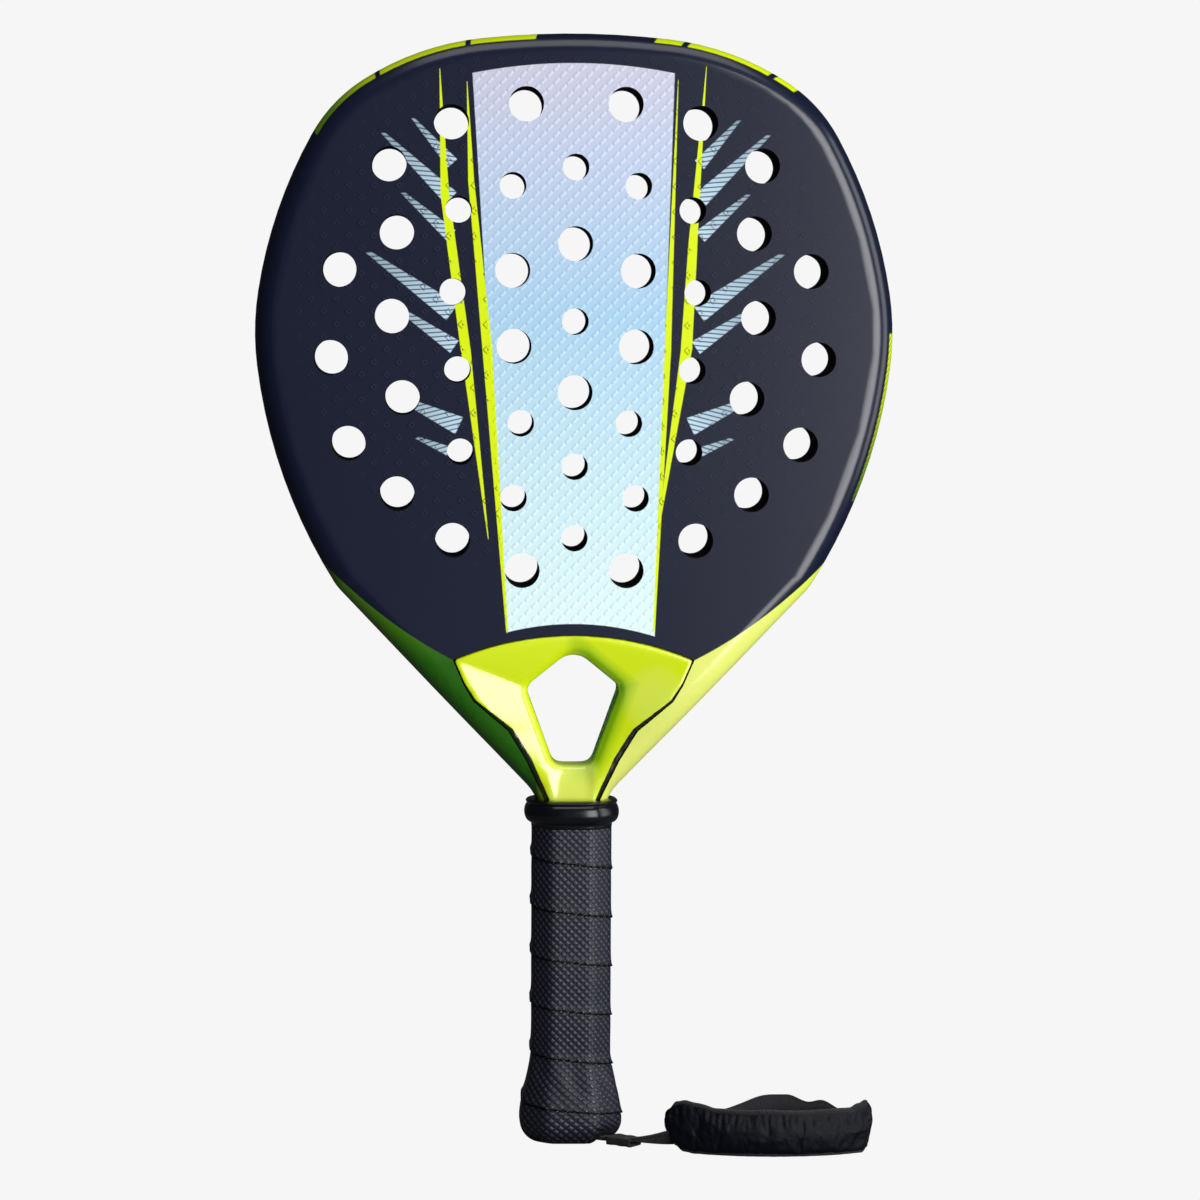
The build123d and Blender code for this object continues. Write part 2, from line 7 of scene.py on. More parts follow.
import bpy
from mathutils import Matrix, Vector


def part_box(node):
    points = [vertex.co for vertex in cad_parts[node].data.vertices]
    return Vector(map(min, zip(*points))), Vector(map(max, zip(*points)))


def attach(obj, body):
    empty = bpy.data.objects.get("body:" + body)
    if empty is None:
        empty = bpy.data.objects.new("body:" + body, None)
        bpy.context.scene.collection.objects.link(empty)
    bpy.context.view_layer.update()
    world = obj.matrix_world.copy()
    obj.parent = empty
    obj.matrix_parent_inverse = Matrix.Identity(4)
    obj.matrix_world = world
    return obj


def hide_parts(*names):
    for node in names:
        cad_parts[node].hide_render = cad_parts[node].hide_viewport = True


bl_info = {
    "name": "Padel racket finish",
    "version": (1, 0, 0),
    "blender": (4, 5, 0),
    "location": "View3D > Sidebar > Racket",
    "description": "Lacquers the racket, wraps its grip and sews its wrist strap",
    "category": "Object",
}

from math import atan2, cos, degrees, exp, hypot, pi, radians, sin, sqrt

import bmesh
import bpy
from bpy.props import FloatProperty, FloatVectorProperty, PointerProperty
from mathutils import Matrix, Vector, noise

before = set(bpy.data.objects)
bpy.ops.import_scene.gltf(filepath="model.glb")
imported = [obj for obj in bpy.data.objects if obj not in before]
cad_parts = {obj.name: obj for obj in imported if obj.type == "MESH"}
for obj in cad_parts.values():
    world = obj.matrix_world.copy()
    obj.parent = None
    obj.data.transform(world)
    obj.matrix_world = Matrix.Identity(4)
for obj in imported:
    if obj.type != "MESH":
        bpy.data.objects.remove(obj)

MM = 0.001
# Millimetres in one unit of a piece's flat pattern.
PATTERN_UNIT = 100.0
# Height of the head's top over its centre.
HEAD_REACH = 121.0
RACKET, KEEPER = "racket", "keeper"


def extent(node):
    """Lowest and highest corners of one of the racket's solids, in millimetres."""
    low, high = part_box(node)
    return low / MM, high / MM


frame_high = extent("frame_tube")[1]
heart_high = extent("heart_bridge")[1]
ring_low, ring_high = extent("collar_ring")
grip_low, grip_high = extent("grip_wrap")
band_low, band_high = extent("cuff_band")
half_depth = frame_high.y
head_centre = frame_high.z - HEAD_REACH


def paint(red, green, blue):
    """A colour as a scene holds it, from the three numbers of a colour chart."""
    shares = (red / 255, green / 255, blue / 255)
    return tuple(s / 12.92 if s <= 0.04045 else ((s + 0.055) / 1.055) ** 2.4 for s in shares)


def lighter(colour, gain, lift):
    """A colour made lighter, for threads and worn places that catch the light."""
    return tuple(min(1.0, c * gain + lift) for c in colour)


def colour_setting(name, description, colour):
    return FloatVectorProperty(
        name=name, description=description, subtype="COLOR", size=3, min=0, max=1, default=colour
    )


def length_setting(name, description, millimetres):
    return FloatProperty(
        name=name, description=description, default=millimetres * MM, unit="LENGTH", precision=5
    )


# ---------------------------------------------------------------- settings
class LacquerSettings(bpy.types.PropertyGroup):
    navy: colour_setting("Navy", "Lacquer of the head", paint(11, 18, 43))
    lime: colour_setting("Lime", "Lacquer of the throat and the spikes", paint(224, 246, 0))
    leaf: colour_setting("Leaf", "Darker green of the throat's left leg", paint(34, 98, 2))
    foil_top: colour_setting("Foil, top", "Silver band at its top", paint(206, 204, 224))
    foil_middle: colour_setting("Foil, middle", "Silver band half way", paint(172, 212, 240))
    foil_foot: colour_setting("Foil, foot", "Silver band at its foot", paint(226, 252, 252))
    slat: colour_setting("Slats", "Pale blue slats beside the band", paint(196, 226, 244))
    cell: length_setting("Relief", "Distance between the raised cells", 3.8)


class GripSettings(bpy.types.PropertyGroup):
    leather: colour_setting("Leather", "Wrapped grip tape", paint(12, 14, 26))
    studs: colour_setting("Studs", "Raised dashes of the grip tape", paint(70, 74, 96))
    rubber: colour_setting("Rubber", "Collar ring", paint(9, 11, 16))
    wrap_pitch: length_setting("Wrap pitch", "Height of one turn of the tape", 20.3)
    wrap_step: length_setting("Wrap step", "Step where one turn laps over the last", 0.8)
    stud_pitch: length_setting("Stud pitch", "Distance between dashes in a row", 3.1)


class StrapSettings(bpy.types.PropertyGroup):
    webbing: colour_setting("Webbing", "Woven strap", paint(15, 16, 25))
    keeper_cloth: colour_setting("Keeper", "Folded keeper", paint(13, 12, 21))
    length: length_setting("Length", "Strap from the butt to the pad", 43.7)
    width: length_setting("Width", "Across the webbing", 7.0)
    wall: length_setting("Thickness", "Through the webbing", 1.6)


class CuffSettings(bpy.types.PropertyGroup):
    satin: colour_setting("Satin", "Outside of the wrist pad", paint(5, 8, 19))
    lining: colour_setting("Lining", "Inside of the wrist pad", paint(13, 13, 20))
    ribbed: colour_setting("Ribbed band", "Woven band behind the wrist", paint(13, 13, 21))


class StageSettings(bpy.types.PropertyGroup):
    pale: colour_setting("Pale", "Floor and backdrop", paint(246, 246, 246))


# ---------------------------------------------------------------- materials
class Wire:
    """A number that runs through a material, so that its sums are written as Python ones."""

    def __init__(self, finish, socket):
        self.finish = finish
        self.socket = socket

    def sum_of(self, operation, *values, clamp=False):
        """The result of a Math node on these values."""
        node = self.finish.node("Math", values, operation=operation, use_clamp=clamp)
        return Wire(self.finish, node.outputs[0])

    def __add__(self, other):
        return self.sum_of("ADD", self, other)

    __radd__ = __add__

    def __sub__(self, other):
        return self.sum_of("SUBTRACT", self, other)

    def __rsub__(self, other):
        return self.sum_of("SUBTRACT", other, self)

    def __mul__(self, other):
        return self.sum_of("MULTIPLY", self, other)

    __rmul__ = __mul__

    def __truediv__(self, other):
        return self.sum_of("DIVIDE", self, other)

    def __neg__(self):
        return self.sum_of("MULTIPLY", self, -1.0)

    def __abs__(self):
        return self.sum_of("ABSOLUTE", self)

    def least(self, other):
        return self.sum_of("MINIMUM", self, other)

    def most(self, other):
        return self.sum_of("MAXIMUM", self, other)

    def sign(self):
        return self.sum_of("SIGN", self)

    def root(self):
        return self.sum_of("SQRT", self)

    def wave(self):
        return self.sum_of("SINE", self)

    def cycle(self, pitch):
        """Distance along one cell of a row of this pitch, from its middle."""
        whole = self.sum_of("FLOORED_MODULO", self, pitch)
        return whole - pitch / 2

    def rise(self, level, width=0.25):
        """0 below a level and 1 above it, with a soft edge of this width."""
        return self.sum_of("MULTIPLY_ADD", self, 1 / width, 0.5 - level / width, clamp=True)

    def fall(self, level, width=0.25):
        """1 below a level and 0 above it."""
        return self.sum_of("MULTIPLY_ADD", self, -1 / width, 0.5 + level / width, clamp=True)


class Finish:
    """One material, which is built up from nodes and ends in a Principled shader."""

    def __init__(self, name):
        self.material = bpy.data.materials.new(name)
        self.material.use_nodes = True
        self.tree = self.material.node_tree
        self.shader = self.tree.nodes["Principled BSDF"]

    def node(self, kind, values=(), stops=(), **settings):
        """A node of this kind: its settings, its ramp's stops, then the values of its sockets."""
        node = self.tree.nodes.new("ShaderNode" + kind)
        for setting, value in settings.items():
            setattr(node, setting, value)
        ramp = node.color_ramp.elements if stops else ()
        while len(ramp) < len(stops):
            ramp.new(1.0)
        for element, (position, colour) in zip(ramp, stops):
            element.position = position
            element.color = (*colour, 1.0)
        pairs = values.items() if isinstance(values, dict) else enumerate(values)
        for key, value in pairs:
            self.put(node.inputs[key], value)
        return node

    def put(self, socket, value):
        """Gives a socket a value or a link."""
        if isinstance(value, Wire):
            value = value.socket
        if isinstance(value, bpy.types.NodeSocket):
            self.tree.links.new(value, socket)
        elif socket.type == "RGBA":
            socket.default_value = (*value[:3], 1.0)
        else:
            socket.default_value = value

    def place(self):
        """Where a point lies on its piece, in millimetres across, away and up."""
        corner = self.node("TexCoord").outputs["Object"]
        scaled = self.node("VectorMath", {0: corner, "Scale": 1 / MM}, operation="SCALE")
        split = self.node("SeparateXYZ", (scaled.outputs[0],))
        return [Wire(self, socket) for socket in split.outputs]

    def cloth_place(self):
        """Where a point lies on a piece's own flat pattern, in millimetres."""
        flat = self.node("UVMap", uv_map="UVMap").outputs[0]
        split = self.node("SeparateXYZ", (flat,))
        return [Wire(self, socket) * PATTERN_UNIT for socket in split.outputs[:2]]

    def attribute(self, name):
        """A value that the piece's points carry."""
        return Wire(self, self.node("Attribute", attribute_name=name).outputs["Fac"])

    def vector(self, *parts):
        return self.node("CombineXYZ", parts).outputs[0]

    def grain(self, scale, detail=2.0, where=None):
        """Soft noise between 0 and 1, with this many grains in a millimetre."""
        where = where or self.node("TexCoord").outputs["Object"]
        values = {"Vector": where, "Scale": scale / MM, "Detail": detail, "Roughness": 0.55}
        return Wire(self, self.node("TexNoise", values).outputs[0])

    def over(self, mask, under, top):
        """One colour laid over another where the mask is 1."""
        # A Mix node's colours are its sockets 6 and 7, and their mix is its output 2.
        mix = self.node("Mix", {0: mask, 6: under, 7: top}, data_type="RGBA")
        return mix.outputs[2]

    def ramp(self, wire, *stops):
        """The colour between stops, each given as a value and its colour."""
        return self.node("ValToRGB", (wire,), stops=stops).outputs[0]

    def bump(self, height, distance, strength=1.0):
        """The surface's direction over a relief of this height in millimetres."""
        values = {"Height": height, "Distance": distance * MM, "Strength": strength}
        return self.node("Bump", values).outputs[0]

    def done(self, **sockets):
        """Gives the shader its values and returns the material."""
        for name, value in sockets.items():
            self.put(self.shader.inputs[name.replace("_", " ").title().replace("Ior", "IOR")], value)
        return self.material


def distance_squared(first, second, centre):
    """Squared distance in a plane from a centre, in square millimetres."""
    return (first - centre[0]) * (first - centre[0]) + (second - centre[1]) * (second - centre[1])


def most_of(masks):
    """The highest of several masks at each point."""
    highest = masks[0]
    for mask in masks[1:]:
        highest = highest.most(mask)
    return highest


def streak(across, up, start, end, start_width, end_width):
    """A tapered stroke from one place to another, each given as across and up."""
    share = (up - start[1]) / (end[1] - start[1])
    middle = share * (end[0] - start[0]) + start[0]
    half = share * ((end_width - start_width) / 2) + start_width / 2
    beside = (half - abs(across - middle)).rise(0.0, 0.3)
    return beside * share.rise(0.0, 0.01) * share.fall(1.0, 0.01)


def slanted(across, up, start, end, start_width, end_width):
    """A tapered stroke at any slant, split along its length into short bars."""
    length = hypot(end[0] - start[0], end[1] - start[1])
    way = ((end[0] - start[0]) / length, (end[1] - start[1]) / length)
    along = (across - start[0]) * way[0] + (up - start[1]) * way[1]
    beside = (across - start[0]) * -way[1] + (up - start[1]) * way[0]
    half = along * ((end_width - start_width) / 2 / length) + start_width / 2
    body = (half - abs(beside)).rise(0.0, 0.4)
    body = body * along.rise(0.0, 0.4) * (along + beside).fall(length, 0.4)
    bars = abs((along * 0.8 + beside).cycle(BAR_PITCH)).rise(0.35, 0.3)
    fading = 1.0 - along * (0.5 / length)
    return body * (0.2 + bars * 0.8) * fading


# Tapered lime spikes beside the silver band: both ends across and up, and both widths. A spike
# bends a little, so it is two or three strokes that overlap.
SPIKES = [
    ((-55.2, 440.0), (-53.0, 388.8), 0.2, 3.5),
    ((-53.1, 389.9), (-44.4, 326.5), 3.5, 4.0),
    ((-44.5, 327.6), (-35.0, 250.0), 4.0, 0.3),
    ((-44.2, 435.0), (-42.4, 395.0), 0.2, 2.4),
    ((-42.5, 396.1), (-35.6, 326.5), 2.4, 4.0),
    ((-35.7, 327.6), (-27.2, 212.0), 4.0, 0.8),
    ((41.2, 436.0), (37.6, 327.0), 0.2, 2.7),
    ((37.7, 328.4), (32.6, 212.0), 2.7, 0.8),
    ((52.6, 441.5), (47.4, 367.8), 0.2, 3.7),
    ((47.5, 368.6), (45.2, 327.3), 3.7, 4.6),
    ((45.4, 328.4), (33.6, 250.0), 4.6, 0.3),
]

# Slanted slats outside the right spikes, which the left side mirrors: both ends and both widths.
SLATS = [
    ((50.0, 402.0), (66.0, 420.0), 5.0, 1.0),
    ((50.5, 388.0), (78.0, 414.0), 6.5, 1.2),
    ((50.5, 373.0), (70.0, 390.0), 5.5, 1.2),
    ((50.0, 342.0), (84.0, 366.0), 8.0, 1.5),
    ((49.0, 328.0), (74.0, 345.0), 6.0, 1.2),
    ((47.0, 296.0), (73.0, 308.0), 7.5, 1.5),
    ((45.0, 283.0), (64.0, 291.0), 5.0, 1.2),
]
# Distance between the short bars of a slat.
BAR_PITCH = 2.3

# Lime on the head's outer side: angles round the head from its top, clockwise, in degrees.
SIDE_SPANS = [
    (-51.0, -36.5), (-35.5, -19.3), (-18.3, -6.0), (17.0, 22.0), (23.2, 38.6), (39.8, 44.0),
]
RIBBED_SPAN = (90.0, 121.0)

# The throat's lime ends at an arch over the heart, and rises in a curve beside it.
ARCH_CENTRE, ARCH_RADIUS = (0.0, 87.2), 123.4
CURVE_ASIDE, CURVE_FOOT = 47.7, 199.8


def silver_band(finish, settings, across, z):
    """Where the silver band lies, and its colour from its foot to its top."""
    # Two straight sides that lean outwards, a domed top and a foot that is hollowed from below.
    left = across - (z - 210.8) * -0.0641 + 27.4
    right = (z - 211.0) * 0.0298 + 33.0 - across
    crown = across * across / -414.0 + 442.6 - z
    foot = z - 215.4 + across * across / 216.0
    band = left.least(right).least(crown).least(foot).rise(0.0, 0.3)
    foil = finish.ramp(
        (z - 215.0) / 228.0,
        (0.0, settings.foil_foot),
        (0.26, paint(204, 236, 246)),
        (0.55, settings.foil_middle),
        (0.82, paint(194, 208, 234)),
        (1.0, settings.foil_top),
    )
    return band, foil


def raised_marks(x, z, pitch):
    """Relief at 45 degrees: dashes, and wider rows of hollow cells that fade from the head's middle."""
    along = (x + z) * 0.7071
    beside = (x - z) * 0.7071
    dash = (pitch * 0.36 - abs(along.cycle(pitch))).rise(0.0, 0.8)
    dash = dash * (pitch * 0.14 - abs(beside.cycle(pitch))).rise(0.0, 0.6)
    wide = pitch * 1.9
    cell = abs(along.cycle(wide)).most(abs(beside.cycle(wide)))
    cell = (1.15 - cell).rise(0.0, 0.35) * (cell - 0.35).rise(0.0, 0.5)
    from_middle = (distance_squared(x, z, (0.0, 345.0)) * 0.8).root()
    return dash, cell * (92.0 - from_middle).rise(0.0, 26.0)


def lay_flashes(finish, settings, colour, place):
    """Lays the lime flashes over the rounded outer side of the frame."""
    x, y, z = place
    turn = x.sum_of("ARCTAN2", x, z - head_centre) * degrees(1)
    slant_turn = turn + abs(y) * 0.12
    above_throat = z.rise(head_centre - 122.0, 1.0)
    plain = most_of([
        (slant_turn - low).rise(0.0, 0.3) * slant_turn.fall(high, 0.3) for low, high in SIDE_SPANS
    ])
    plain = plain * abs(y).fall(15.9, 0.6)
    ribbed = turn.rise(RIBBED_SPAN[0], 0.4) * turn.fall(RIBBED_SPAN[1], 0.4)
    ribbed = ribbed * abs(y).fall(15.2, 0.6)
    ribs = (turn * 2.2 + y * 1.2).cycle(2.6).rise(-0.5, 0.5)
    plain_lime = finish.over(turn.fall(-42.0, 12.0) * 0.8, settings.lime, paint(20, 130, 10))
    ribbed_lime = finish.over(turn.rise(108.0, 30.0), settings.lime, settings.leaf)
    colour = finish.over(plain * above_throat, colour, plain_lime)
    return finish.over(ribbed * above_throat * (0.35 + ribs * 0.65), colour, ribbed_lime)


def head_paint(finish, settings, place):
    """The head's colour, its relief, and where its silver band lies."""
    x, y, z = place
    across = -(x * y.sign())
    on_face = abs(y).rise(half_depth - 0.2, 0.2)
    band, foil = silver_band(finish, settings, across, z)
    dash, cell = raised_marks(x, z, settings.cell / MM)
    relief = (dash * band + cell * (1.0 - band)) * on_face
    spikes = most_of([streak(across, z, *spike) for spike in SPIKES])
    slats = most_of([slanted(abs(across), z, *slat) for slat in SLATS])

    navy = finish.over(finish.grain(0.02) * 0.12, settings.navy, paint(38, 44, 66))
    navy = finish.over(cell * on_face * 0.5, navy, paint(40, 46, 68))
    foil = finish.over(dash * 0.22, foil, paint(240, 250, 252))
    colour = finish.over(slats * on_face, navy, settings.slat)
    colour = finish.over(band * on_face, colour, foil)
    colour = finish.over(spikes * on_face, colour, settings.lime)
    return lay_flashes(finish, settings, colour, place), relief, band


def on_head(x, z):
    """1 on the navy of the head and 0 on the throat's lime."""
    swing = abs(x) - CURVE_ASIDE
    curve = swing * 0.49 + swing * swing * 0.0045 + CURVE_FOOT
    from_arch = distance_squared(x, z, ARCH_CENTRE).root()
    return (z - curve).rise(0.0, 0.4) * from_arch.rise(ARCH_RADIUS, 0.4)


def lime_with_painted_light(finish, settings, x, z):
    """Throat lime: down its left leg a darker green, partly the paint's own and partly painted shade,
    and down its right leg a painted highlight that makes it paler.
    """
    # Painted shade darkens the left leg to green, and a painted highlight pales the right leg.
    left_leg_green_and_shade = (-x - 12.0).rise(0.0, 6.0)
    right_leg_highlight = (x - 12.0).rise(0.0, 6.0) * z.fall(236.0, 40.0)
    pale = finish.over(right_leg_highlight * 0.6, settings.lime, paint(238, 240, 150))
    leaf = finish.over(z.rise(214.0, 30.0) * 0.35, settings.leaf, paint(120, 170, 20))
    return finish.over(left_leg_green_and_shade, pale, leaf)


def head_lacquer(name, settings):
    """Lacquer of the frame and of the two faces."""
    finish = Finish(name)
    x, y, z = finish.place()
    colour, relief, band = head_paint(finish, settings, (x, y, z))
    # The throat's lime carries painted shade on its left leg and a painted highlight on its right one.
    colour = finish.over(on_head(x, z), lime_with_painted_light(finish, settings, x, z), colour)
    speckle = finish.grain(1.6, 3.0)
    height = relief * (0.6 - band * 0.45) + speckle * 0.005
    return finish.done(
        base_color=colour,
        roughness=0.5 + speckle * 0.1,
        metallic=band * 0.12,
        specular_ior_level=0.08,
        coat_weight=0.55,
        coat_ior=1.8,
        coat_roughness=0.22,
        normal=finish.bump(height, 1.0, 0.9),
    )


def heart_lacquer(name, settings):
    """Lime lacquer of the heart, with the dark line of its parting."""
    finish = Finish(name)
    x, _, z = finish.place()
    lime = finish.over(finish.grain(0.05, 1.0) * 0.2, settings.lime, paint(206, 238, 0))

    # Painted shade makes it greener beside the opening's upper right, and painted highlights make it
    # paler on the right arm and under the opening.
    over_top = x * 0.634 + (z - 205.0) * 0.773
    beside = (x - 19.5) * 0.938 - (z - 189.0) * 0.346
    opening_shade = over_top.most(beside).fall(3.6, 7.0) * x.rise(1.0, 10.0) * z.rise(154.0, 12.0)
    lime = finish.over(opening_shade * 0.85, lime, paint(62, 172, 0))
    # Painted highlight: a soft pale patch on the right arm.
    from_painted_highlight = distance_squared(x, z, (34.0, 184.0))
    lime = finish.over(from_painted_highlight.fall(130.0, 200.0) * 0.22, lime, paint(250, 248, 160))
    # Painted highlight over the scoop under the opening.
    scoop = (9.2 - abs(x)).rise(0.0, 3.0) * (z - 142.0).rise(0.0, 3.0) * z.fall(158.0, 3.0)
    lime = finish.over(scoop * 0.35, lime, paint(246, 248, 150))

    from_parting = finish.attribute("parting")
    width = z.fall(181.0, 24.0) * 1.7 + 0.3
    colour = finish.over((width - from_parting).rise(0.0, 0.25), lime, paint(10, 18, 4))
    speckle = finish.grain(1.6, 3.0)
    return finish.done(
        base_color=colour,
        roughness=0.5 + speckle * 0.08,
        specular_ior_level=0.1,
        coat_weight=1.0,
        coat_ior=1.9,
        coat_roughness=0.2,
        normal=finish.bump(speckle, 0.01),
    )


def foam(name, colour, pale):
    """Closed-cell foam or rubber: fine pores over a mottled colour."""
    finish = Finish(name)
    pores = finish.grain(2.2, 4.0)
    mottle = finish.grain(0.25, 2.0)
    tone = finish.over(mottle * pores * 1.4, colour, pale)
    return finish.done(
        base_color=tone,
        roughness=0.72 + pores * 0.2,
        normal=finish.bump(pores, 0.12),
    )


def moulded(name, colour, gloss):
    """Moulded plastic or rubber with a fine spark-eroded skin."""
    finish = Finish(name)
    skin = finish.grain(3.0, 3.0)
    wear = finish.grain(0.12, 2.0)
    tone = finish.over(wear * 0.3, colour, lighter(colour, 1.8, 0.004))
    return finish.done(
        base_color=tone,
        roughness=gloss + skin * 0.15,
        normal=finish.bump(skin, 0.03),
    )


def steel(name):
    """Bright drawn wire."""
    finish = Finish(name)
    x, y, z = finish.place()
    drawn = finish.grain(1.0, 2.0, finish.vector(x * 0.004, y * 0.004, z * 0.0004))
    return finish.done(
        base_color=finish.over(drawn, paint(150, 152, 158), paint(196, 198, 204)),
        metallic=1.0,
        roughness=0.25 + drawn * 0.2,
    )


def grip_leather(name, settings):
    """Grip tape with raised dashes in staggered rows."""
    finish = Finish(name)
    around, up = finish.cloth_place()
    pitch = settings.stud_pitch / MM
    diagonal = (around - up) / sqrt(2)
    counter = (around + up) / sqrt(2)
    step = pitch / sqrt(2)
    dash = (step * 0.36 - abs(diagonal.cycle(step))).rise(0.0, 0.5)
    dash = dash * (step * 0.26 - abs(counter.cycle(step))).rise(0.0, 0.45)
    pores = finish.grain(2.4, 3.0)
    scuff = finish.grain(0.08, 2.0)
    tone = finish.over(dash * 0.75, settings.leather, settings.studs)
    tone = finish.over(scuff * 0.35, tone, paint(14, 16, 26))
    # Painted shade along the step where each turn of the tape laps over the last.
    tone = finish.over(finish.attribute("seam").fall(0.8, 0.7) * 0.9, tone, paint(6, 6, 9))
    return finish.done(
        base_color=tone,
        roughness=0.42 + pores * 0.1 - dash * 0.12,
        specular_ior_level=0.5,
        normal=finish.bump(dash * 0.22 + pores * 0.03, 1.0),
    )


def woven(name, colour, rib, sheen=0.3, wale=1.1):
    """Webbing: ribs across and fine yarns along the flat pattern."""
    finish = Finish(name)
    along, across = finish.cloth_place()
    yarn = (along * (2 * pi / rib)).wave() * (across * (2 * pi / wale)).wave()
    rise = abs(along.cycle(rib)).fall(rib * 0.3, rib * 0.25)
    fuzz = finish.grain(3.0, 3.0)
    # Raised ribs and yarns are painted lighter, a painted highlight on their tops; the fuzz lightens it
    # at random.
    raised = rise * 0.35 + yarn * 0.15 + fuzz * 0.2
    tone = finish.over(raised, colour, lighter(colour, 3.2, 0.01))
    return finish.done(
        base_color=tone,
        roughness=0.75 + fuzz * 0.15,
        sheen_weight=sheen,
        normal=finish.bump(rise * 0.25 + yarn * 0.1 + fuzz * 0.06, 1.0),
    )


def satin(name, colour):
    """Smooth tightly woven cover cloth."""
    finish = Finish(name)
    along, across = finish.cloth_place()
    thread = (along * (2 * pi / 0.55)).wave() * (across * (2 * pi / 0.42)).wave()
    crease = finish.grain(0.22, 3.0)
    fuzz = finish.grain(2.5, 2.0)
    # Folds and threads are painted lighter where they rise: a painted sheen.
    tone = finish.over(crease * 0.4 + thread * 0.12, colour, lighter(colour, 1.8, 0.003))
    return finish.done(
        base_color=tone,
        roughness=0.42 + fuzz * 0.12,
        specular_ior_level=0.2,
        normal=finish.bump(thread * 0.03 + crease * 0.5 + fuzz * 0.02, 1.0),
    )


# ---------------------------------------------------------------- modelling aids
def clear_selection():
    """Leaves edit mode and selects nothing."""
    if bpy.context.object and bpy.context.object.mode != "OBJECT":
        bpy.ops.object.mode_set(mode="OBJECT")
    bpy.ops.object.select_all(action="DESELECT")


def choose(piece):
    """Makes a piece the only selected one."""
    clear_selection()
    piece.select_set(True)
    bpy.context.view_layer.objects.active = piece


def add_modifier(piece, kind, **settings):
    """Adds a modifier and applies it."""
    choose(piece)
    modifier = piece.modifiers.new(kind.title(), kind)
    for setting, value in settings.items():
        setattr(modifier, setting, value)
    bpy.ops.object.modifier_apply(modifier=modifier.name)


def finish_piece(piece, body, material, nodes=()):
    """Gives a piece its material, its body and the solids that it stands for."""
    piece.data.materials.clear()
    piece.data.materials.append(material)
    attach(piece, body)
    if nodes:
        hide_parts(*nodes)
    return piece


def smooth_by_angle(piece, angle=30):
    """Shades a piece smooth, apart from its edges that are sharper than an angle in degrees."""
    choose(piece)
    bpy.ops.object.shade_smooth_by_angle(angle=radians(angle))


def close_up(piece, capped=False):
    """Merges doubles, fills the open ends of a capped piece and turns all faces outwards."""
    choose(piece)
    bpy.ops.object.mode_set(mode="EDIT")
    bpy.ops.mesh.select_all(action="SELECT")
    bpy.ops.mesh.remove_doubles(threshold=0.01 * MM)
    bpy.ops.mesh.normals_make_consistent(inside=False)
    if capped:
        bpy.ops.mesh.fill_holes(sides=0)
        bpy.ops.mesh.normals_make_consistent(inside=False)
    bpy.ops.object.mode_set(mode="OBJECT")


def copy_of(node, name):
    """A merged copy of one of the racket's solids, with its flat faces made whole."""
    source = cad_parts[node]
    piece = bpy.data.objects.new(name, source.data.copy())
    piece.data.name = name
    bpy.context.scene.collection.objects.link(piece)
    choose(piece)
    bpy.ops.object.mode_set(mode="EDIT")
    bpy.ops.mesh.select_all(action="SELECT")
    bpy.ops.mesh.remove_doubles(threshold=0.002 * MM)
    bpy.ops.mesh.dissolve_limited(angle_limit=radians(0.5))
    bpy.ops.object.mode_set(mode="OBJECT")
    return piece


def wrap_grid(name, columns, rows, place):
    """A grid wrapped into a shape: place gives a point in mm for shares across and along."""
    clear_selection()
    bpy.ops.mesh.primitive_grid_add(x_subdivisions=columns, y_subdivisions=rows, size=1)
    piece = bpy.context.object
    piece.name = name
    piece.data.name = name
    for vertex in piece.data.vertices:
        vertex.co = Vector(place(vertex.co.x + 0.5, vertex.co.y + 0.5)) * MM
    return piece


def row_of(profile, along):
    """The point of a profile on the grid's row at this share along."""
    return profile[round(along * (len(profile) - 1))]


def spread(low, high, count):
    """Evenly spaced values from low to high, with both of them."""
    return [low + (high - low) * i / (count - 1) for i in range(count)]


def rounded_reach(angle, wide, tall, crisp):
    """How far a rectangle with rounded corners reaches from its middle at an angle."""
    return (abs(cos(angle) / wide) ** crisp + abs(sin(angle) / tall) ** crisp) ** (-1 / crisp)


def ease_between(value, low, high):
    """0 at the low value and 1 at the high one, with a soft start and end."""
    share = min(1.0, max(0.0, (value - low) / (high - low)))
    return share * share * (3 - 2 * share)


def swell(distance, width):
    """A soft hump: 1 at no distance, and next to nothing two widths away."""
    return exp(-(distance / width) ** 2)


def lay_pattern(piece, flat):
    """Sets a piece's flat pattern: flat gives millimetres for the shares across and along."""
    layer = piece.data.uv_layers[0]
    layer.name = "UVMap"
    for corner in layer.data:
        along, up = flat(corner.uv.x, corner.uv.y)
        corner.uv = (along / PATTERN_UNIT, up / PATTERN_UNIT)


def dress(node, material):
    """Gives one of the racket's own solids its material."""
    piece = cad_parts[node]
    piece.data.materials.clear()
    piece.data.materials.append(material)


# ---------------------------------------------------------------- head
# Right side of the heart's parting: across and up, in millimetres.
PARTING = [(48.9, 200.5), (44.4, 190.0), (40.5, 183.4), (26.2, 171.0), (18.7, 158.7), (11.5, 142.3)]
HEART_FOOT_DEPTH = 12.0


def to_segment(point, start, end):
    """Distance of a point from a straight run."""
    run = (end[0] - start[0], end[1] - start[1])
    offset = (point[0] - start[0], point[1] - start[1])
    share = (offset[0] * run[0] + offset[1] * run[1]) / (run[0] ** 2 + run[1] ** 2)
    share = min(1.0, max(0.0, share))
    return hypot(offset[0] - share * run[0], offset[1] - share * run[1])


def to_parting(across, up):
    """Distance from the parting between the heart and the frame."""
    return min(to_segment((abs(across), up), a, b) for a, b in zip(PARTING, PARTING[1:]))


